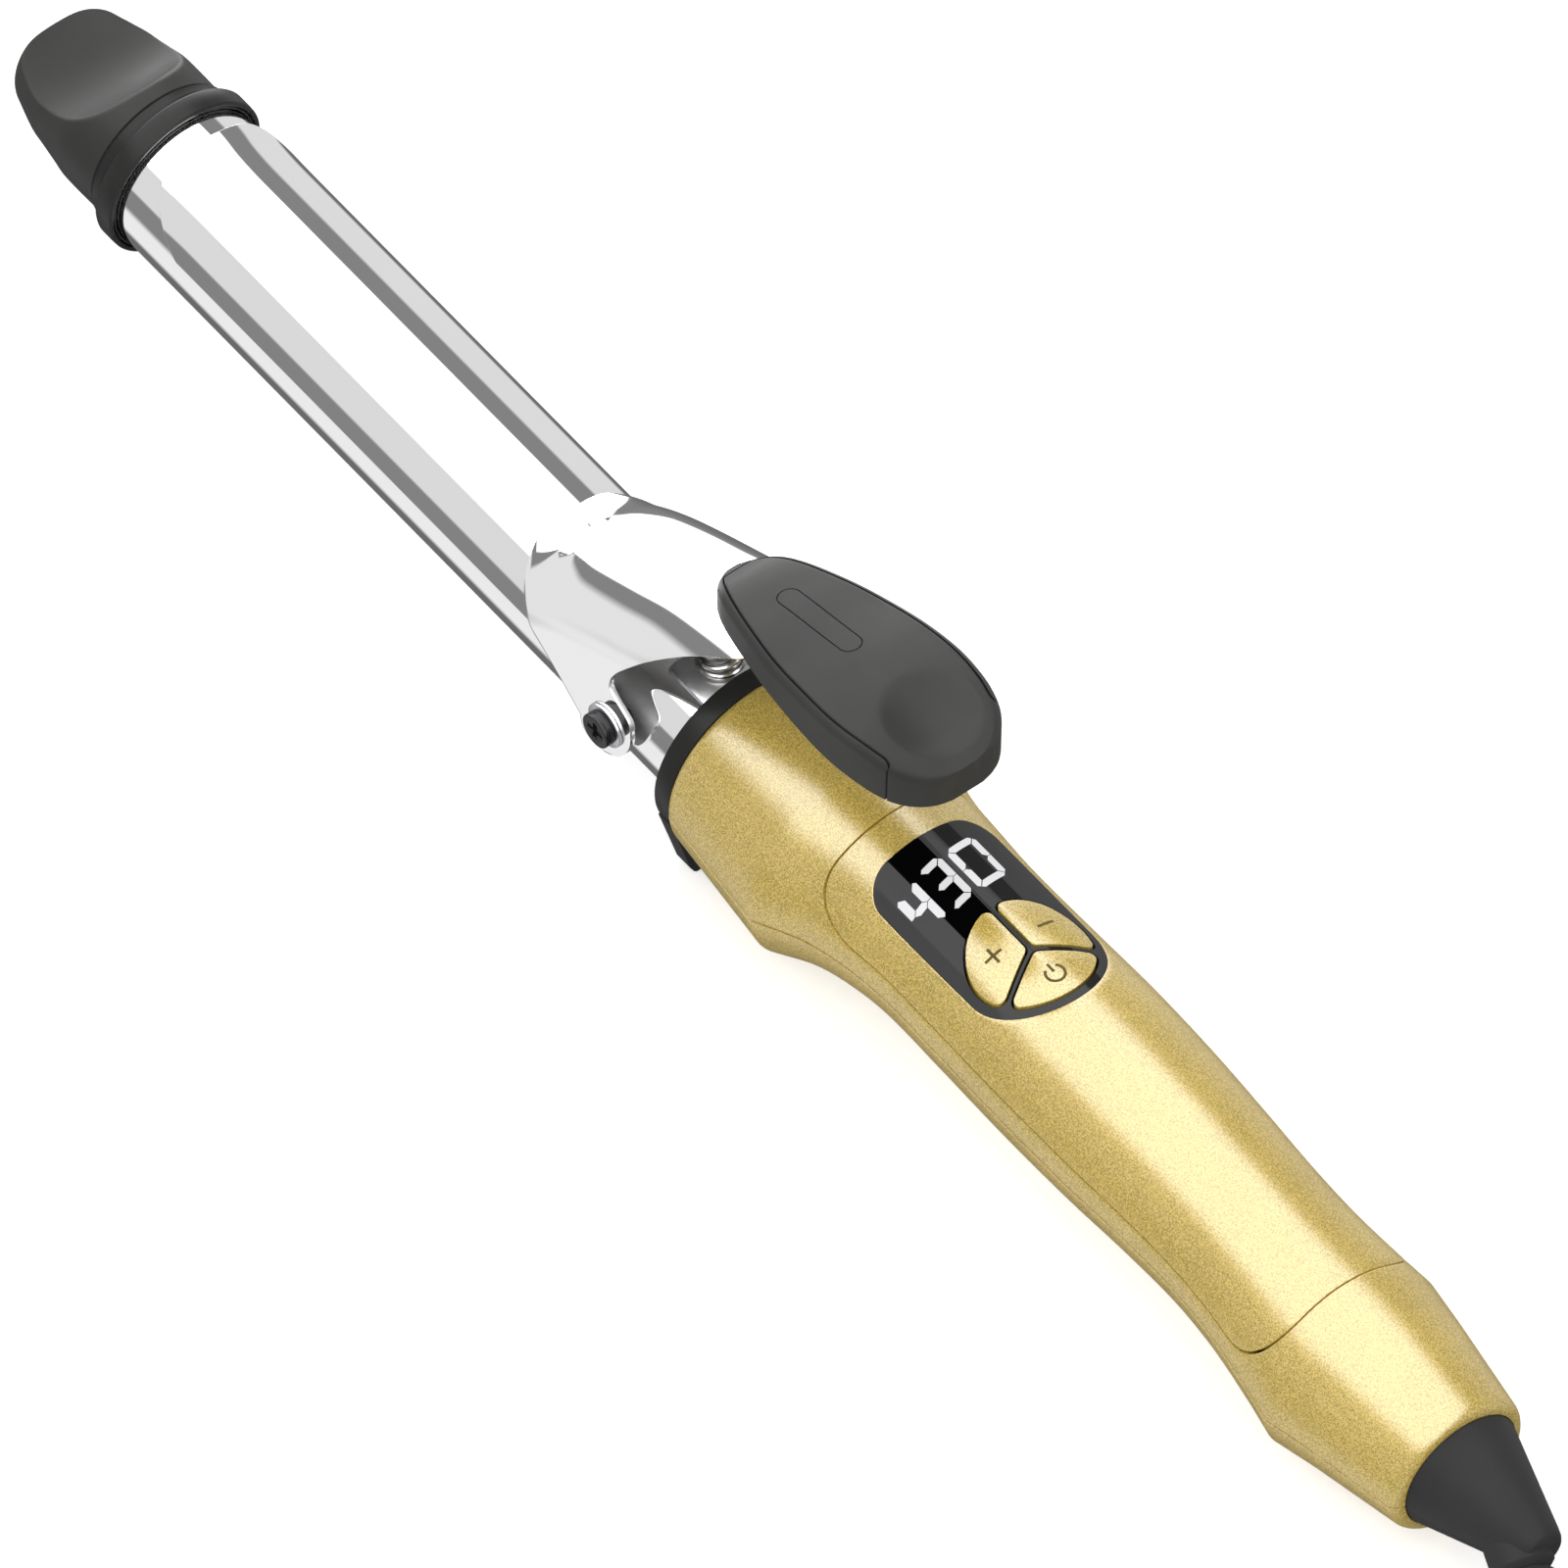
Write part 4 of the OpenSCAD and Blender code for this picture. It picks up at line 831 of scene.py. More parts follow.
def tile(name, outline, place):
    """A thin tile over a convex outline, laid on a surface by place(u, v, lift)."""
    reach = [max(p[k] for p in outline) - min(p[k] for p in outline) for k in (0, 1)]
    main = 0 if reach[0] > reach[1] else 1
    low, high = min(p[main] for p in outline), max(p[main] for p in outline)
    stations = []
    for t in sorted(steps(low, high, 8) + [p[main] for p in outline]):
        if not stations or t - stations[-1] > 0.03:
            stations.append(t)
    stations[-1] = high

    def across(t):
        hits = [
            mix(a[1 - main], b[1 - main], (t - a[main]) / (b[main] - a[main]))
            for a, b in zip(outline, outline[1:] + outline[:1])
            if a[main] != b[main] and min(a[main], b[main]) <= t <= max(a[main], b[main])
        ]
        middle, half = (min(hits) + max(hits)) / 2, max((max(hits) - min(hits)) / 2, 0.02)
        return middle - half, middle + half

    def at(height):
        def lay(i, j):
            spot = (stations[i], mix(*across(stations[i]), j))
            return place(*(spot if main == 0 else spot[::-1]), height)
        return lay
    return slab(name, len(stations) - 1, 1, at(SIGN_LIFT), at(SIGN_LIFT - SIGN_T))


def stroke(name, route, bold, place):
    """A thin line of even width along a route of [x, y] points."""
    route = [Vector(point) for point in route]

    def at(height):
        def lay(i, j):
            way = (route[min(i + 1, len(route) - 1)] - route[max(i - 1, 0)]).normalized()
            spot = route[i] + Vector((-way.y, way.x)) * bold * (j - 0.5)
            return place(spot.x, spot.y, height)
        return lay
    return slab(name, len(route) - 1, 1, at(SIGN_LIFT), at(SIGN_LIFT - SIGN_T))


def sector_prism(angle, low, high, grow):
    """Upright prism over one of the three sectors of the button ring."""
    apex = (RING_GAP - grow) / math.sin(math.radians(60))
    points = sector_outline(RING_R + grow, apex, KEY_CORNER + grow)
    turn = Matrix.Rotation(math.radians(angle), 2)
    spots = [turn @ Vector(p) + Vector((RING_X, 0)) for p in points]
    alone()
    bpy.ops.mesh.primitive_circle_add(vertices=len(spots), radius=1, fill_type="NGON")
    piece = named("sector")
    for vertex, spot in zip(piece.data.vertices, spots):
        vertex.co = (spot.x, spot.y, low)
    bpy.ops.object.mode_set(mode="EDIT")
    bpy.ops.mesh.select_all(action="SELECT")
    bpy.ops.mesh.extrude_region_move(TRANSFORM_OT_translate={"value": (0, 0, high - low)})
    bpy.ops.object.mode_set(mode="OBJECT")
    return outward(piece)


def sector_outline(r, apex, soft):
    """A third of a disc, its point at [apex, 0], with its three corners rounded by soft."""
    cos_side, sin_side = polar(1, 60)
    # Inner corner: the circle that touches both straight edges
    middle = apex + soft / sin_side
    inner = [(middle + x, y) for x, y in (polar(soft, a) for a in steps(150, 210, 6))]
    # Outer corner: touches the arc from inside and the straight edge from its inner side
    low, high = 0.0, 60.0
    for _ in range(40):
        a = (low + high) / 2
        x, y = polar(r - soft, a)
        low, high = (a, high) if sin_side * (x - apex) - cos_side * y > soft else (low, a)
    x, y = polar(r - soft, a)
    corner = [(x + dx, y + dy) for dx, dy in (polar(soft, b) for b in steps(150, a, 7))]
    arc = [polar(r, b) for b in steps(-a, a, 26)[1:-1]]
    return inner + [(x, -y) for x, y in corner] + arc + corner[::-1]


BUTTONS = {"plus": 60, "minus": -60, "power": 180}


class CURL_OT_display(bpy.types.Operator):
    """Gloss window with its lit digits"""
    bl_idname = "curl.display"
    bl_label = "Display"

    def execute(self, context):
        edge = window_loop_flat()

        def place(lift):
            def at(i, j):
                t = 1 - j / 16
                x, y = edge[i]
                spine = min(max(x, 11 - WINDOW_X1), -WINDOW_X0 - WINDOW_CORNER)
                spot = (mix(x, spine, 1 - t * 0.999), y * max(t, 0.004))
                return on_window(*spot, lift)
            return at
        window = slab("display_gloss_window", len(edge), 16, place(0), place(-1.2), ring=True)
        weld(window, 0.01)
        for angle in BUTTONS.values():
            cut(window, sector_prism(angle, 0, 40, 0.42))
        ease(window, 0.12, 2, 40)
        settle(window, "iron", finish("window"), "display_window", slot="black_gloss", angle=25)

        tall, bold, lean = details().digit * 1000, 1.2, 0.15
        bars = []
        for digit, right, wide, foot in DIGITS:
            def lay(left, up, lift, right=right, foot=foot):
                return on_window(foot + up - lean * left, right + left, lift)
            bars += [tile("segment", segment(letter, wide, tall, bold), lay)
                for letter in SEGMENTS[digit]]
        settle(join("display_digits", bars), "iron", finish("digits"), slot="led")
        return {"FINISHED"}


def window_loop_flat():
    return [(-d, handle_r(d) * math.sin(math.radians(a))) for d, a in window_loop()]


class CURL_OT_buttons(bpy.types.Operator):
    """Plus, minus and power buttons with their printed signs"""
    bl_idname = "curl.buttons"
    bl_label = "Buttons"

    def execute(self, context):
        def lay(x, y, lift):
            return on_window(x, y, lift + KEY_RISE)
        for name, angle in BUTTONS.items():
            node = "button_" + name
            piece = from_node(node + "_key", node, 0.22, 3)
            settle(piece, node + "_body", finish("gold"), node, place=None, slot="gold")
            dx, y = polar(SIGN_R, angle)
            x = RING_X + dx
            if name == "power":
                arc = [(x + polar(1.5, a)[0], y + polar(1.5, a)[1]) for a in steps(38, 322, 24)]
                routes = [[(x + t, y) for t in steps(0.3, 2, 4)], arc]
            else:
                routes = [[(x, y + t) for t in steps(-1.5, 1.5, 6)]]
                if name == "plus":
                    routes.append([(x + t, y) for t in steps(-1.5, 1.5, 6)])
            marks = [stroke("mark", route, SIGN_BOLD, lay) for route in routes]
            settle(join(node + "_sign", marks), node + "_body", finish("marks"))
        return {"FINISHED"}


# ---- barrel, clip and lever -----------------------------------------------------------------

CROWN = [(-38, 26.8), (-20, 25.4), (-8, 23.2), (3, 19.6), (11.5, 15.6), (20.6, 11.15),
    (29.8, 6.1), (35.5, 1.9), (40, 0.1), (46, 0)]
SADDLE_FRONT = [(0, 40), (6.3, 40), (11.9, 37.6), (16.1, 35), (20.7, 32), (24.8, 28.8),
    (31.9, 23.2), (37, 19.2)]
SADDLE_REAR = [(0, -13), (5, -12.6), (7, -10.8), (9.4, -7.9), (12, -2.6), (14.4, 1.3), (17, 5.1),
    (19.1, 7.8), (23.2, 12), (26.7, 13.3), (29.4, 11.6), (33.4, 8.4), (37, 8)]
EAR_W = 37
EAR_END = 43


def crown(x):
    """Height of the saddle's crown, evened out over a few millimetres on either side."""
    reach = 4 * smooth((40 - x) / 12)
    heights = [curve(CROWN, min(max(x + t, -38), 46)) for t in steps(-reach, reach, 8)]
    return SADDLE_R + sum(heights) / len(heights)


def ear_arc(w):
    return math.sqrt(max(0, 1 - ((w - EAR_W) / (EAR_END - EAR_W)) ** 2))


def saddle_front(w):
    return curve(SADDLE_FRONT, w) if w <= EAR_W else PIVOT_X + 6.2 * ear_arc(w)


def saddle_rear(w):
    return curve(SADDLE_REAR, w) if w <= EAR_W else PIVOT_X - 5 * ear_arc(w)


def tongue(w):
    """Length of the tongue behind the arch at girth w."""
    if w < 5:
        end = -38 + (w / 5) ** 8 * 3
    else:
        end = mix(-35, saddle_rear(8), (w - 5) / 3)
    return max(saddle_rear(w) - end, 0.6) if w < 8 else 0.6


def saddle_point(x, w, s, r):
    """Point of the pressed sheet at x and girth w from its crown, on side s."""
    arc = min(w, SADDLE_R * math.pi / 2) / SADDLE_R
    down = max(0, w - SADDLE_R * math.pi / 2)
    flat = smooth((-9 - x) / 12)
    drop = SADDLE_R - r + r * (1 - math.cos(arc))
    return (x, s * mix(r * math.sin(arc), w, flat),
        crown(x) - mix(drop, SADDLE_R - r, flat) - down)


class CURL_OT_barrel(bpy.types.Operator):
    """Chromed tube"""
    bl_idname = "curl.barrel"
    bl_label = "Barrel"

    def execute(self, context):
        inside = BARREL_R - 1.1
        rings = [(-26, inside), (-26, BARREL_R), (-3, BARREL_R), (60, BARREL_R),
            (BARREL_END - 0.3, BARREL_R), (BARREL_END, BARREL_R - 0.3), (BARREL_END, inside),
            (-26, inside)]
        settle(turned("chromed_barrel", rings, 160, closed=True), "iron", finish("chrome"),
            "barrel_tube", slot="chrome")
        return {"FINISHED"}


class CURL_OT_clip(bpy.types.Operator):
    """Clip plate and the pressed saddle that carries it"""
    bl_idname = "curl.clip"
    bl_label = "Clip"

    def execute(self, context):
        edge = CLIP_TOP * math.sin(math.radians(CLIP_WRAP)) + 0.05
        lip = [(0, 0), (CLIP_FRONT - 10, 0), (CLIP_FRONT - 4, 0.15), (CLIP_FRONT, 0.6)]

        def place(depth):
            def at(i, j):
                angle = mix(-CLIP_WRAP, CLIP_WRAP, i / 72)
                y = CLIP_TOP * math.sin(math.radians(angle))
                c = min(1, max(0, 1 - (edge - abs(y)) / 7))
                front = CLIP_FRONT - 12 * (1 - math.sqrt(max(0, 1 - c * c)))
                x = mix(CLIP_REAR, front, 1 - (1 - j / 70) ** 1.6)
                flare = 0 if x < CLIP_FRONT - 10 else curve(lip, x)
                z, y = polar(CLIP_TOP + flare - depth, angle)
                return (x, y, z)
            return at
        plate = slab("clip_plate", 72, 70, place(0), place(CLIP_T))
        ease(plate, 0.12, 2, 50)
        settle(plate, "clip", finish("chrome"), "clip_shell", slot="chrome", angle=40)

        side = steps(0, 36, 44) + steps(36, 42.99, 18)[1:]
        girths = [(-1, w) for w in reversed(side[1:])] + [(1, w) for w in side]

        def press(r):
            def at(i, j):
                s, w = girths[i]
                front, rear = saddle_front(w), saddle_rear(w)
                if j <= 48:
                    x = mix(front, rear, j / 48)
                else:
                    x = rear - tongue(w) * (j - 48) / 12
                return saddle_point(x, w, s, r)
            return at
        saddle = slab("clip_saddle_pressing", len(girths) - 1, 60, press(SADDLE_R),
            press(SADDLE_R - SADDLE_T))
        ease(saddle, 0.12, 2, 50)
        settle(saddle, "clip", finish("chrome"), "clip_saddle", slot="chrome", angle=40)
        dull_inside(saddle, finish("pressing"))
        rivet = from_node("clip_rivet_head", "clip_rivet", 0.1)
        rise = crown(RIVET_X + RIVET_SHIFT) - crown(RIVET_X)
        shift = TURN @ Vector((RIVET_SHIFT, 0, rise)) / 1000
        for vertex in rivet.data.vertices:
            vertex.co += shift
        settle(rivet, "clip", finish("chrome"), "clip_rivet", place=None, slot="chrome")
        return {"FINISHED"}


def dull_inside(piece, finish):
    """Gives the inner faces of the arch their own finish."""
    piece.data.materials.append(finish)
    back = REST.inverted()
    for face in piece.data.polygons:
        x, y, z = back @ face.center
        out = Vector((0, y, z - crown(x) + SADDLE_R))
        if (TURN.transposed() @ face.normal).dot(out) < 0:
            face.material_index = 1


class CURL_OT_pivot(bpy.types.Operator):
    """Pivot screws and washers, the spring and its seat"""
    bl_idname = "curl.pivot"
    bl_label = "Pivot and spring"

    def execute(self, context):
        settle(from_node("pivot_screw_pair", "pivot_screws", 0.18), "iron", finish("screw"),
            "pivot_screws", place=None, slot="screw_black")
        settle(from_node("pivot_washer_pair", "pivot_washers", 0.08), "iron", finish("steel"),
            "pivot_washers", place=None, slot="steel")
        settle(from_node("spring_foot", "spring_seat", 0.08), "iron", finish("steel"),
            "spring_seat", place=None, slot="steel")
        low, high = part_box("clip_spring")
        spring = coil_spring("compression_spring", low, high)
        settle(spring, None, finish("spring"), "clip_spring", place=None, slot="steel")
        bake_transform(spring)
        return {"FINISHED"}


def coil_spring(name, low, high):
    """Round wire wound six times between two closed end turns, in the frame's metres."""
    wire = 0.0005
    centre = (low + high) / 2
    r = (high.y - low.y) / 2 - wire
    lean = 0.48
    rise = high.z - low.z - 2 * wire - lean * r
    data = bpy.data.curves.new(name, "CURVE")
    data.dimensions = "3D"
    data.bevel_depth = wire
    data.bevel_resolution = 3
    data.use_fill_caps = True
    spline = data.splines.new("POLY")
    count = 7 * 28
    spline.points.add(count)
    for k, point in enumerate(spline.points):
        t = k / count
        a = t * 7 * 2 * math.pi
        up = smooth((t - 0.1) / 0.8) * 0.15 + min(max((t - 0.1) / 0.8, 0), 1) * 0.85
        x = centre.x + r * math.cos(a)
        point.co = (x, r * math.sin(a),
            low.z + wire + (rise - lean * r * math.cos(a)) * up + 0.001 * 0.4 * t, 1)
    curve_object = bpy.data.objects.new(name, data)
    bpy.context.scene.collection.objects.link(curve_object)
    alone(curve_object)
    bpy.ops.object.convert(target="MESH")
    return outward(bpy.context.active_object)


TOP_LINE = [(0, 38.9), (5, 42.6), (14.2, 45.6), (22.4, 47.6), (32.3, 49.9), (44.5, 51.3),
    (51, 50.4), (55.7, 48.6)]
OUTLINE = [(0, 0.17), (1, 0.285), (3, 0.41), (7, 0.56), (14, 0.725), (22, 0.865), (31, 0.955),
    (38, 0.98), (44, 0.935), (48.5, 0.86), (51.5, 0.75), (54, 0.565), (55.2, 0.385), (55.7, 0.22)]
DIMPLE_X = LEVER_FRONT - LEVER_LEN + 9.6


def lever_half(d):
    return LEVER_W / 2 * curve(OUTLINE, d)


def lever_top(x, y):
    d = LEVER_FRONT - x
    q = math.hypot(x - DIMPLE_X, y + 0.4) / 7.7
    dimple = 0 if q >= 1 else 2.2 * (1 - q * q) ** 1.1
    return (curve(TOP_LINE, d) - 1.5 * (y / (LEVER_W / 2)) ** 2
        - round_off(lever_half(d) - abs(y), 1.6) * 0.9 - dimple)


def lever_bottom(x):
    return crown(x) + 0.05 if x > -38 else crown(-38) + 0.05 + (-38 - x) * 0.05


class CURL_OT_lever(bpy.types.Operator):
    """Thumb lever: its base, the cap let into it and the cover of its screws"""
    bl_idname = "curl.lever"
    bl_label = "Lever"

    def execute(self, context):
        def inset(d):
            """How far the cap's seam lies inside the outline, rounded off where the seam turns down."""
            t = min(max((d - CAP_JOINT + 1.9) / 1.9, 0), 1)
            return CAP_INSET * math.sqrt(1 - t * t)
        front = steps(0, 4, 10) + steps(4, 47.4, 52)[1:] + steps(47.4, 49.35, 8)[1:]

        def rim_lanes(half, rim):
            """Lanes of y from edge to edge, with a step down at the pocket's wall."""
            inner = max(half - rim, 0.05)
            outer = [mix(inner, half, math.sin(math.pi / 2 * t)) for t in steps(0, 1, 6)]
            inside = steps(0, inner - 0.01, 7)
            side = inside + outer
            return [-y for y in reversed(side)] + side[1:]

        def base_top(i, j):
            d = front[i]
            x = LEVER_FRONT - d
            rim = max(inset(d) - CAP_GAP, 0.02)
            y = rim_lanes(lever_half(d), rim)[j]
            sunk = d > CAP_INSET and abs(y) < lever_half(d) - rim - 0.005
            return (x, y, lever_top(x, y) - (CAP_T + 0.1 if sunk else 0))

        def base_foot(i, j):
            x, y, _ = base_top(i, j)
            return (x, y, lever_bottom(x))
        base = slab("lever_base_shell", len(front) - 1, len(rim_lanes(5, 1)) - 1, base_top, base_foot)
        settle(base, "clip", finish("lever"), "lever_base", slot="black", angle=45)

        inlay = [CAP_INSET + 2 * CAP_GAP + t for t in steps(0, 3, 8)]
        inlay += steps(4.5, 47.4, 52)[1:] + steps(47.4, CAP_JOINT, 8)[1:]
        rear = [CAP_JOINT + 0.1] + steps(CAP_JOINT + 0.3, 54, 10) + steps(54, LEVER_LEN, 14)[1:]
        line = inlay + rear
        across = [math.sin(math.pi / 2 * t) for t in steps(-1, 1, 40)]

        def cap_top(i, j):
            d = line[i]
            x = LEVER_FRONT - d
            half = lever_half(d) - (inset(d) + CAP_GAP if i < len(inlay) else 0)
            y = across[j] * max(half, 0.1)
            edge = round_off(half - abs(y), 0.3) * 0.5 if i < len(inlay) else 0
            return (x, y, lever_top(x, y) - edge)

        def cap_foot(i, j):
            x, y, z = cap_top(i, j)
            return (x, y, z - CAP_T if i < len(inlay) else lever_bottom(x))
        cap = slab("lever_cap_shell", len(line) - 1, 40, cap_top, cap_foot)
        groove = slot_ring("slot_cutter")
        cut(cap, groove)
        settle(cap, "clip", finish("lever"), "lever_cap", "lever_plug", slot="black", angle=45)
        return {"FINISHED"}


def slot_ring(name):
    """Cutter for the fine groove round the long cover of the screws."""
    mid = (SLOT_FRONT + SLOT_REAR) / 2
    long = SLOT_FRONT - SLOT_REAR
    half = long / 2 - SLOT_R
    slope = math.atan((lever_top(SLOT_REAR, 0) - lever_top(SLOT_FRONT, 0)) / long)
    loops = []
    for k in range(64):
        a = 2 * math.pi * k / 64
        loops.append((math.copysign(half, math.cos(a)) if abs(math.cos(a)) > 1e-9 else half, a))

    def at(z):
        def lay(i, j):
            shift, a = loops[i]
            r = mix(SLOT_INNER, SLOT_R, j)
            x, y = shift + r * math.cos(a), r * math.sin(a)
            return (mid + x * math.cos(slope) + z * math.sin(slope), y,
                lever_top(mid, 0) - x * math.sin(slope) + z * math.cos(slope))
        return lay
    return slab(name, 64, 1, at(2), at(-SLOT_DEPTH), ring=True)


# ---- collar and tip -------------------------------------------------------------------------

class CURL_OT_collar(bpy.types.Operator):
    """Black collar with the foot that the iron rests on"""
    bl_idname = "curl.collar"
    bl_label = "Collar and foot"

    def execute(self, context):
        settle(from_node("collar_and_foot", "collar_stand", 0.35, 3), "iron", finish("collar"),
            "collar_stand", place=None, slot="black")
        return {"FINISHED"}


class CURL_OT_tip(bpy.types.Operator):
    """Cool tip with its collar and two finger scoops"""
    bl_idname = "curl.tip"
    bl_label = "Cool tip"

    def execute(self, context):
        x0 = 132.8
        flange, body = 14.3, 12.6
        rings = [(x0 + 0.35, BARREL_R + 0.2), (x0 + 0.3, BARREL_R + 0.5), (x0 + 1, BARREL_R + 0.55),
            (x0 + 1, flange - 0.85), (x0 + 0.1, flange - 0.78), (x0, flange - 0.65),
            (x0, flange - 0.35), (x0 + 0.3, flange - 0.05),
            (x0 + 1.0, flange), (x0 + 3.3, flange), (x0 + 3.6, flange - 0.15),
            (x0 + 3.9, flange - 0.7), (x0 + 4.15, flange - 1.4), (x0 + 4.5, body + 0.4),
            (x0 + 5, body + 0.3), (TIP_SEAM - 0.1, body + 0.3), (TIP_SEAM, body + 0.15),
            (TIP_SEAM, 11), (x0 + 1.4, BARREL_R - 0.1), (x0 + 1.2, BARREL_R + 0.2),
            (x0 + 0.35, BARREL_R + 0.2)]
        settle(turned("tip_collar_ring", rings, 128, closed=True), "iron", finish("collar"),
            "tip_collar", slot="black", angle=40)

        side = [(TIP_SEAM, 12.6), (147, 12.6), (150, 12.15), (153, 11.7), (156, 11.25), (161.3, 9.63)]
        start = TIP_SEAM + 0.3
        rings = [(start, 6), (start, body - 0.25), (start + 0.2, body)]
        rings += [(x, curve(side, x)) for x in steps(TIP_SEAM + 0.7, 161.3, 42)]
        rings += [(TIP_END - 4.6 * (1 - math.sin(math.radians(a))),
            9.85 - 4.6 * (1 - math.cos(math.radians(a)))) for a in steps(22, 90, 14)]
        rings += [(TIP_END, r) for r in (3.6, 2.4, 1.2, 0.05)]
        cap = turned("cool_tip_cap", rings, 160)
        scoop, middle = 18.4, TIP_END - 6.7
        for vertex in cap.data.vertices:
            x, y, z = vertex.co
            reach = scoop**2 - (x - middle) ** 2
            if reach <= 0 or x < TIP_SEAM + 0.6:
                continue
            limit = scoop + 4 - math.sqrt(reach)
            over = abs(z) - limit
            z_new = limit + (over - math.sqrt(over * over + 0.1)) / 2
            if abs(z) > 0.5:
                vertex.co.z = math.copysign(max(z_new, 0.0), z)
        settle(cap, "iron", finish("lever"), "tip_cap", slot="black", angle=40)
        return {"FINISHED"}


# ---- swivel, cord and plug ------------------------------------------------------------------

RELIEF_START = Vector((-HANDLE_END - 9.3, 0, 0))
RELIEF_ALONG, RELIEF_OFF = polar(1, 26)
RELIEF_SIDE, RELIEF_DOWN = polar(RELIEF_OFF, 45)
RELIEF_WAY = Vector((-RELIEF_ALONG, RELIEF_SIDE, -RELIEF_DOWN))
RELIEF_LEN = 28


class CURL_OT_swivel(bpy.types.Operator):
    """Swivel boot and the ribbed strain relief"""
    bl_idname = "curl.swivel"
    bl_label = "Swivel boot"

    def execute(self, context):
        e = HANDLE_END
        rings = [(-e - 18.3, 0.05), (-e - 18.3, 3.1), (-e - 18.15, 3.5), (-e - 17.7, 3.85),
            (-e - 16.7, 4.25), (-e - 15.2, 4.75), (-e - 3.2, 8.8), (-e + 0.2, 9.95),
            (-e + 0.9, 10.15), (-e + 3.5, 10.15), (-e + 3.5, 9.9),
            (-e + 6, 9.9), (-e + 6, 6), (-e + 12.5, 6), (-e + 12.5, 8.4), (-e + 14.8, 8.4),
            (-e + 14.8, 4), (-e + 25.8, 4), (-e + 25.8, 2.6), (-e + 25.8, 0.05)]
        boot = turned("swivel_boot_moulding", rings, 128)
        settle(boot, "swivel", finish("rubber"), "swivel_boot", slot="black", angle=40)

        pitch, hoops, r0, tip = 3.4, 5, 4.85, 3.7
        rings = [(0, 0.05), (0, r0), (8.6, r0), (9, r0 - 0.4)]
        for k in range(hoops):
            out = mix(r0 - 0.3, tip, (k + 1) / hoops)
            core = out - 0.75
            start = 9 + k * pitch + 1.1
            rings += [(start - 0.35, core), (start, core), (start + 0.12, out - 0.2),
                (start + 0.35, out), (start + 1.55, out), (start + 1.78, out - 0.2),
                (start + 1.9, core)]
        rings += [(RELIEF_LEN - 1.4, 3.5), (RELIEF_LEN - 0.25, 3.4), (RELIEF_LEN, 3.15),
            (RELIEF_LEN, 2.85), (RELIEF_LEN - 3, 2.82), (RELIEF_LEN - 3, 0.05)]
        relief = turned("ribbed_strain_relief", rings, 72)
        turn = RELIEF_WAY.to_track_quat("X", "Z").to_matrix().to_4x4()
        relief.matrix_world = Matrix.Translation(RELIEF_START) @ turn
        settle(relief, "swivel", finish("rubber"), "strain_relief", slot="cord", angle=35)
        return {"FINISHED"}


LEAD = [(-190.1, 7.9, 7.4), (-196.9, 10.2, 4.9), (-200.5, 11.4, 3.8), (-204.5, 12.6, 3.1),
    (-210, 14, 2.85), (-215, 15.4, 2.85), (-220.5, 16.4, 2.85), (-226.5, 16.8, 2.85),
    (-236, 16.8, 2.9), (-246, 16.8, 3.2), (-256, 16.8, 3.6)]
TAIL = [(-353.6, -23, 15.25), (-349, -22.9, 15.2), (-343, -21.6, 14.9), (-337, -18.9, 13.9),
    (-331, -15, 12.2), (-325, -10.8, 10.3), (-319, -7.6, 8.8), (-313, -6.2, 8.1), (-308, -6, 8)]
PLUG = Vector((-308, -6, 8))
PITCH = 5.8
FOLD_R = 17
HANK_Y = -6
FOLD_FRONT = -257.6
FOLD_REAR = -353.6
HANK_Z = 3.65

# The hank's runs, to the rear and back in turn: lane and layer at both ends, and where each changes
RUNS = (
    (1, 1, 0, 0, 0, 1), (1, 1, 0, 0, 0, 1), (0, 0, 0, 0, 0, 1), (0, 0, 0, 0, 0, 1),
    (0, 0, 1, 1, 0, 1), (0, 1, 1, 1, 0.62, 0.98), (1, 1, 1, 1, 0, 1), (1, 1, 1, 2, 0.34, 0.62),
    (1, 1, 2, 2, 0, 1), (1, 0, 2, 2, 0.05, 0.35), (0, 0, 2, 2, 0, 1),
)


def fold(x, y, r, start, low, high):
    """Half a turn about [x, y] from an angle, going the cord's way, rising in its first half."""
    points = []
    for k in range(1, 30):
        t = k / 30
        dx, dy = polar(r, start + 180 * t)
        points.append((x + dx, y + dy, mix(low, high, smooth(t * 2))))
    return points


def hank_route():
    """The folded hank: eleven runs in two lanes and three layers."""
    points = []
    for k, (lane0, lane1, layer0, layer1, begin, end) in enumerate(RUNS):
        back = k % 2 == 0
        side = 1 if back else -1
        r0, r1 = FOLD_R + PITCH * lane0, FOLD_R + PITCH * lane1
        z0, z1 = HANK_Z + PITCH * layer0, HANK_Z + PITCH * layer1
        x0, x1 = (FOLD_FRONT, FOLD_REAR) if back else (FOLD_REAR, FOLD_FRONT)
        for t in steps(0, 1, 30):
            change = smooth((t - begin) / (end - begin))
            points.append((mix(x0, x1, t), HANK_Y + side * mix(r0, r1, change), mix(z0, z1, change)))
        after = RUNS[min(k + 1, len(RUNS) - 1)]
        r2, z2 = FOLD_R + PITCH * after[0], HANK_Z + PITCH * after[2]
        if k == len(RUNS) - 1:
            r2 = r1
        middle = HANK_Y + side * (r1 - r2) / 2
        points += fold(x1, middle, (r1 + r2) / 2, 90 if back else -90, z1, z2)
    return points


def through(points, step=2.5):
    """Evenly stepped points on the smooth line through the given ones."""
    spans = [(Vector(a) - Vector(b)).length for a, b in zip(points, points[1:])]
    at = [sum(spans[:k]) for k in range(len(points))]
    knots = [[(s, p[axis]) for s, p in zip(at, points)] for axis in range(3)]
    return [tuple(curve(line, s) for line in knots) for s in steps(0, at[-1], int(at[-1] / step))]


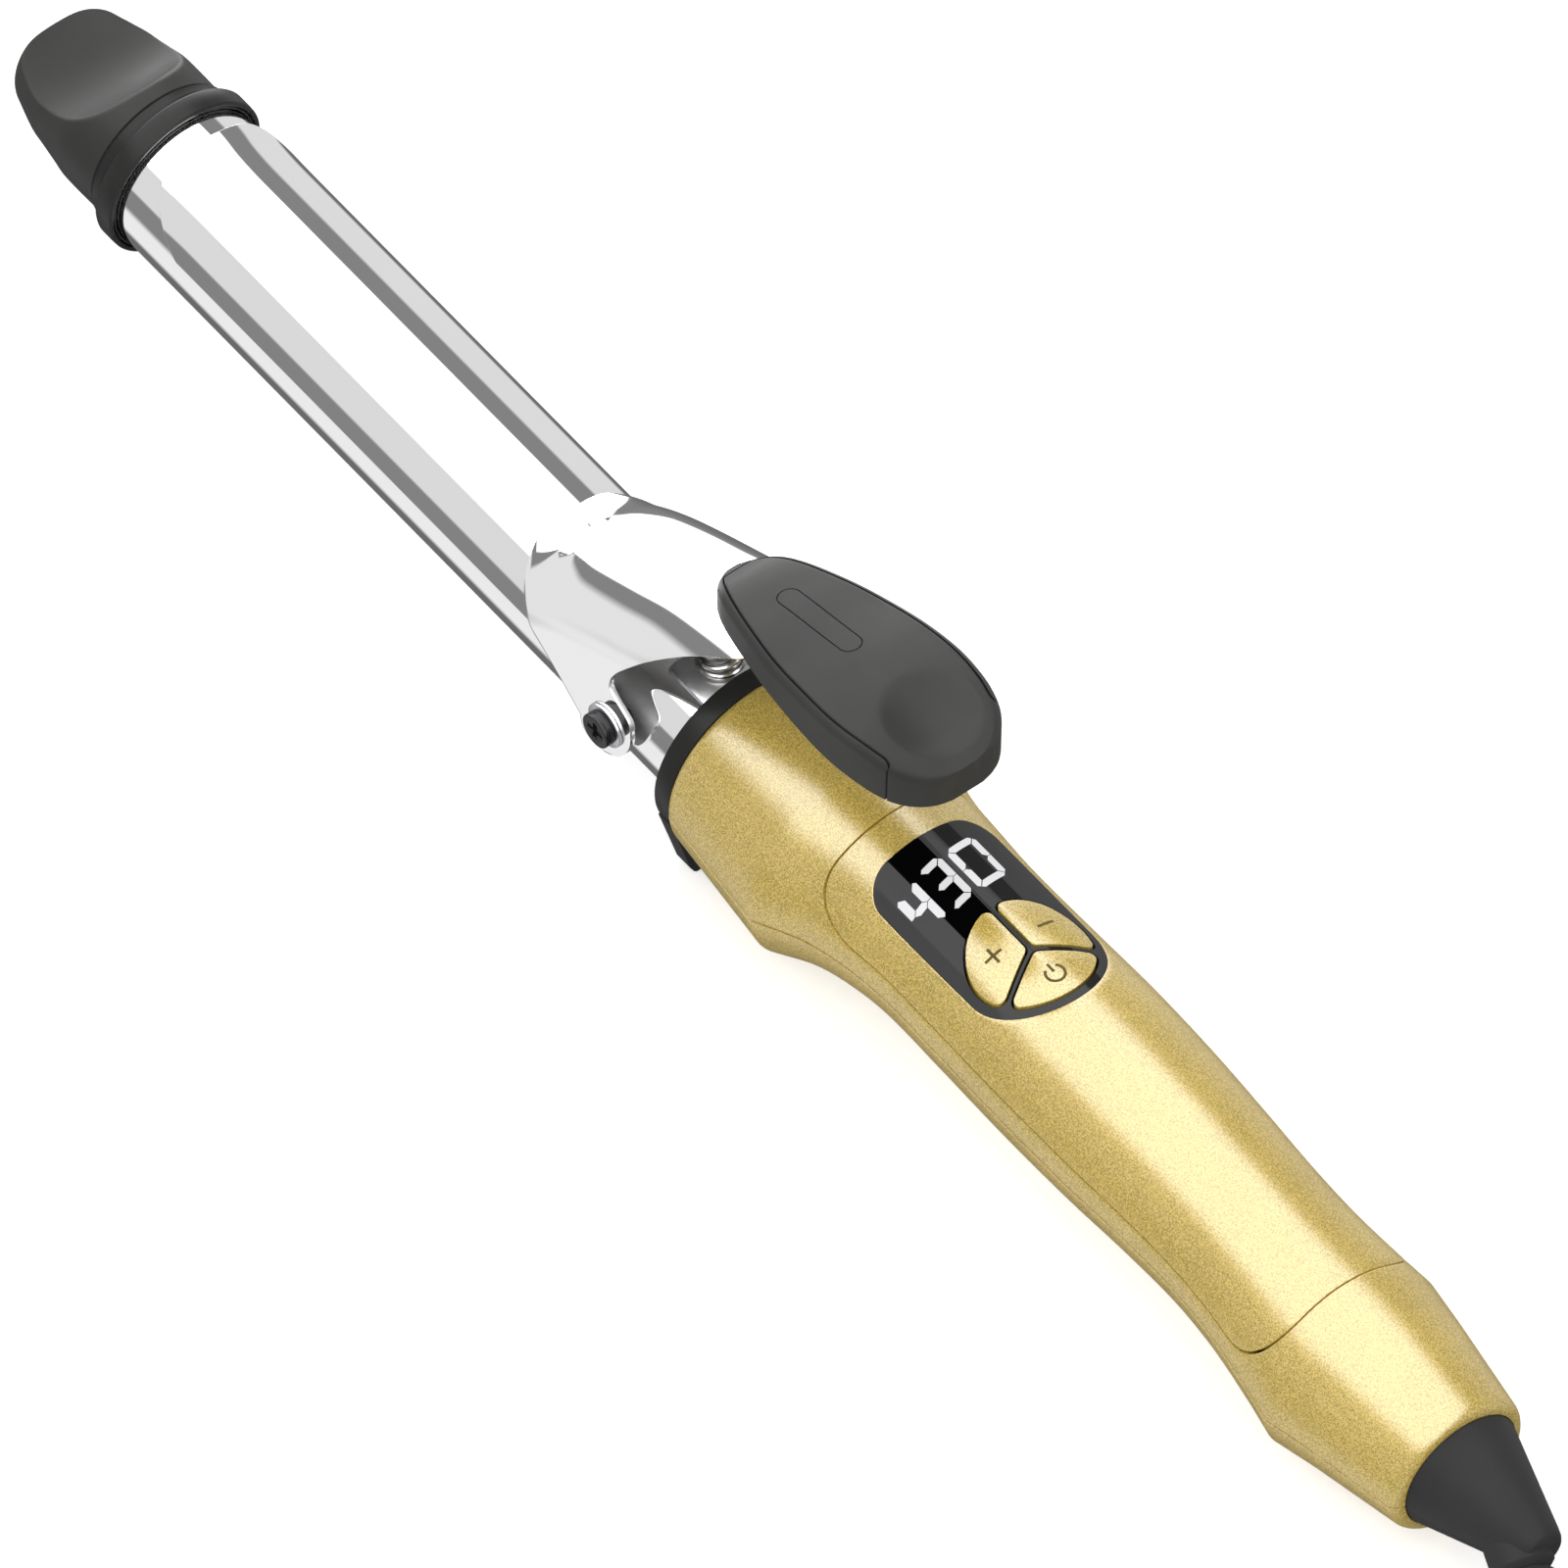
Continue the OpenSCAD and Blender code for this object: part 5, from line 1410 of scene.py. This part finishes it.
class CURL_OT_cord(bpy.types.Operator):
    """Mains cord, folded into a tied hank behind the iron, and its plug"""
    bl_idname = "curl.cord"
    bl_label = "Cord and plug"

    def execute(self, context):
        route = through(LEAD) + hank_route() + through(TAIL)
        data = bpy.data.curves.new("mains_cord", "CURVE")
        data.dimensions = "3D"
        data.bevel_depth = CORD_R / 1000
        data.bevel_resolution = 4
        data.use_fill_caps = True
        spline = data.splines.new("POLY")
        spline.points.add(len(route) - 1)
        for point, spot in zip(spline.points, route):
            point.co = [c / 1000 for c in spot] + [1]
        spline.use_smooth = True
        cord = bpy.data.objects.new("mains_cord", data)
        context.scene.collection.objects.link(cord)
        data.materials.append(finish("rubber"))
        run = sum((Vector(a) - Vector(b)).length for a, b in zip(route, route[1:])) / 1000
        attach(cord, "swivel")
        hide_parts("cord", "cord_hank")

        low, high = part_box("cord_tie")
        tie = strap("hank_tie", low * 1000, high * 1000)
        settle(tie, "swivel", finish("collar"), "cord_tie", place=TABLE, slot="black", angle=35)
        plug = plug_body("plug_moulding")
        settle(plug, "swivel", finish("rubber"), "plug_body", place=TABLE, slot="cord", angle=35)
        blades = from_node("plug_blade_pair", "plug_blades", 0.2)
        settle(blades, "swivel", finish("brass"), "plug_blades", place=None, slot="brass")
        return {"FINISHED"}


def strap(name, low, high):
    """A flat band round the hank, with rounded corners."""
    mid_y, mid_z = (low.y + high.y) / 2, (low.z + high.z) / 2
    wide, tall = (high.y - low.y) / 2, (high.z - low.z) / 2

    def at(depth):
        def lay(i, j):
            a = 2 * math.pi * (i + 0.5) / 64
            r = 3.2 - depth
            cy = math.copysign(wide - 3.2, math.cos(a))
            cz = math.copysign(tall - 3.2, math.sin(a))
            return (mix(low.x, high.x, j / 6), mid_y + cy + r * math.cos(a), mid_z + cz + r * math.sin(a))
        return lay
    return ease(slab(name, 64, 6, at(0), at(0.8), ring=True), 0.2, 2, 50)


def plug_body(name):
    """Moulded two-blade plug: a round sleeve that opens into a flat grip."""
    sizes = [(0, 4.2, 4.2, 2), (0.3, 4.4, 4.4, 2), (5, 4.7, 4.7, 2), (10, 5, 5, 2), (14, 5.3, 5.3, 2),
        (16, 7.4, 6.2, 2.4), (18, 9, 6.5, 3), (22, 9.6, 6.6, 3.4), (28, 10.3, 6.9, 3.6),
        (34, 10.9, 7.3, 4), (40, 11.6, 7.7, 4.4), (43.2, 11.9, 7.9, 4.6), (43.8, 11.7, 7.7, 4.6),
        (44, 11.3, 7.3, 4.6)]
    body = turned(name, [(x, 1) for x in [s[0] for s in sizes]], 96)
    for vertex in body.data.vertices:
        x, y, z = vertex.co
        size = min(sizes, key=lambda s: abs(s[0] - x))
        _, wide, tall, power = size
        around = math.atan2(z, y)
        c, s = math.cos(around), math.sin(around)
        grip = 0.35 * max(0, math.sin((x - 20) * 1.35)) if 20 < x < 39 and abs(s) < 0.5 else 0
        vertex.co = PLUG + Vector((
            x,
            math.copysign(abs(c) ** (2 / power), c) * (wide - grip),
            math.copysign(abs(s) ** (2 / power), s) * tall,
        ))
    return body


class CURL_OT_inner(bpy.types.Operator):
    """Finishes of the parts inside the iron, which keep the frame's own shapes"""
    bl_idname = "curl.inner"
    bl_label = "Inner parts"

    def execute(self, context):
        wanted = {
            "ceramic": ["heater_plate"], "alloy": ["heat_spreaders"], "sensor": ["thermistor"],
            "steel": ["thermal_fuse", "pivot_bracket", "tip_bracket", "tip_screw", "lever_screws",
                "handle_screws"],
            "cream": ["barrel_bush", "swivel_bush", "brush_holder"], "board": ["circuit_board"],
            "parts": ["board_parts", "tact_switches"], "pale": ["display_module"],
            "lead": ["lead_wires"], "brass": ["brush_contacts", "contact_rings"],
        }
        for name, nodes in wanted.items():
            for node in nodes:
                for slot in NODES[node].material_slots:
                    slot.material = finish(name)
        return {"FINISHED"}


# ---- studio ---------------------------------------------------------------------------------

# Tone of the studio at each angle from straight up towards the +Y side, as a mirror sees it
BANDS = [(-180, 0.15), (-126, 0.16), (-118, 0.74), (-70, 0.74), (-66, 0.235), (-42, 0.235),
    (-37, 6), (48, 6), (51, 0.73), (90, 0.73), (93, 0.235), (118, 0.235), (126, 0.87),
    (156, 0.87), (166, 0.15), (180, 0.15)]
# The same for faces that lean towards the tip
FRONT_BANDS = [(-180, 0.235), (-122, 0.235), (-114, 6), (38, 6), (50, 0.235), (74, 0.235),
    (84, 0.8), (132, 0.8), (142, 0.235), (180, 0.235)]
BRIGHTEST = 6


class CURL_OT_studio(bpy.types.Operator):
    """Camera, pale floor, even daylight and the bands that the chrome mirrors"""
    bl_idname = "curl.studio"
    bl_label = "Studio"

    def execute(self, context):
        scene = context.scene
        studio = scene.iron_studio
        scene.view_settings.view_transform = "Standard"
        data = bpy.data.cameras.new("view")
        data.lens = 36 * studio.distance / studio.picture
        data.clip_end = 50
        camera = bpy.data.objects.new("view", data)
        scene.collection.objects.link(camera)
        right = TURN @ Vector((-0.6204, -0.7841, 0.0153))
        up = TURN @ Vector((0.6284, -0.4854, 0.6079))
        back = right.cross(up).normalized()
        up = back.cross(right).normalized()
        target = REST @ Vector((-10.5, 0, 0))
        camera.matrix_world = Matrix.Translation(target + back * studio.distance) @ Matrix(
            (right.normalized(), up, back)).transposed().to_4x4()
        scene.camera = camera

        alone()
        bpy.ops.mesh.primitive_plane_add(size=8, location=(0, 0, -0.0002))
        floor = named("floor")
        floor.data.materials.append(floor_finish())

        self.lamp("key", (-0.6, 0.9, 1.5), 0.9, 9.0)
        self.lamp("fill", (0.9, -0.9, 1.2), 1.2, 3.5)
        sky(scene, studio.daylight)
        return {"FINISHED"}

    def lamp(self, name, place, size, power):
        data = bpy.data.lights.new(name, "AREA")
        data.size = size
        data.energy = power
        lamp = bpy.data.objects.new(name, data)
        bpy.context.scene.collection.objects.link(lamp)
        turn = Vector(place).to_track_quat("Z", "Y").to_matrix().to_4x4()
        lamp.matrix_world = Matrix.Translation(place) @ turn
        lamp.visible_glossy = False


def show(tree, kind, result):
    """Sends a result to the tree's output."""
    tree.links.new(result.socket, tree.nodes.new("ShaderNodeOutput" + kind).inputs[0])


def ray(tree, kind):
    """1 for rays of the kind, 0 for others."""
    return add(tree, "LightPath", out="Is " + kind + " Ray")


def floor_finish():
    """Pale floor that keeps shadows and lets mirrors see the studio's bands."""
    material = bpy.data.materials.new("pale_floor")
    material.use_nodes = True
    tree = material.node_tree
    tree.nodes.clear()
    matt = add(tree, "BsdfDiffuse", (0.9, 0.9, 0.9))
    lit = add(tree, "AddShader", matt, add(tree, "Emission", (1, 1, 1), 0.45))
    seen = add(tree, "MixShader", ray(tree, "Camera"), matt, lit)
    clear = add(tree, "BsdfTransparent")
    show(tree, "Material", add(tree, "MixShader", ray(tree, "Glossy"), seen, clear))
    return material


def ramp(tree, turn, bands):
    """Tones of the bands by the turn round the iron, as shares of the brightest one."""
    node = tree.nodes.new("ShaderNodeValToRGB")
    stops = node.color_ramp.elements
    while len(stops) < len(bands):
        stops.new(0.5)
    for stop, (angle, tone) in zip(stops, bands):
        stop.position = (angle + 180) / 360
        stop.color = (tone / BRIGHTEST,) * 3 + (1,)
    put(tree, node.inputs[0], turn)
    return Field(tree, node.outputs[0])


def sky(scene, strength):
    """Even light, white behind the iron, and bands along it for whatever mirrors them."""
    scene.world = bpy.data.worlds.new("studio")
    scene.world.use_nodes = True
    tree = scene.world.node_tree
    tree.nodes.clear()
    way = add(tree, "TexCoord", out="Generated")
    ahead, across, up = [add(tree, "SeparateXYZ", way, out=axis) for axis in "XYZ"]
    turn = across.math("ARCTAN2", across, up) / (2 * math.pi) + 0.5
    bands = blend(tree, ahead.between(0.55, 0.72), ramp(tree, turn, BANDS),
        ramp(tree, turn, FRONT_BANDS))
    mirrored = add(tree, "VectorMath", bands, settings={"operation": "SCALE"}, scale=BRIGHTEST)
    even = blend(tree, ray(tree, "Glossy"), (strength,) * 3, mirrored)
    seen = blend(tree, ray(tree, "Camera"), even, (1, 1, 1))
    show(tree, "World", add(tree, "Background", seen))


# ---- panel and registration -----------------------------------------------------------------

PIECES = (
    CURL_OT_studio, CURL_OT_cord, CURL_OT_handle, CURL_OT_display, CURL_OT_buttons,
    CURL_OT_barrel, CURL_OT_clip, CURL_OT_pivot, CURL_OT_lever, CURL_OT_collar, CURL_OT_tip,
    CURL_OT_swivel, CURL_OT_inner,
)


class CURL_PT_panel(bpy.types.Panel):
    """Lists the pieces of the curling iron and its sizes and colours"""
    bl_idname = "CURL_PT_panel"
    bl_label = "Curling Iron"
    bl_space_type = "VIEW_3D"
    bl_region_type = "UI"
    bl_category = "Curling Iron"

    def draw(self, context):
        for piece in PIECES:
            self.layout.operator(piece.bl_idname)
        for group in (context.scene.iron_colours, context.scene.iron_details,
                context.scene.iron_studio):
            for name in group.__annotations__:
                self.layout.prop(group, name)


CLASSES = (IronColours, IronDetails, IronStudio) + PIECES + (CURL_PT_panel,)


def register():
    for item in CLASSES:
        bpy.utils.register_class(item)
    bpy.types.Scene.iron_colours = PointerProperty(type=IronColours)
    bpy.types.Scene.iron_details = PointerProperty(type=IronDetails)
    bpy.types.Scene.iron_studio = PointerProperty(type=IronStudio)


def unregister():
    del bpy.types.Scene.iron_colours
    del bpy.types.Scene.iron_details
    del bpy.types.Scene.iron_studio
    for item in reversed(CLASSES):
        bpy.utils.unregister_class(item)


def main():
    register()
    for piece in PIECES:
        family, name = piece.bl_idname.split(".")
        getattr(getattr(bpy.ops, family), name)()
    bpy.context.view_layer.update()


if __name__ == "__main__":
    main()
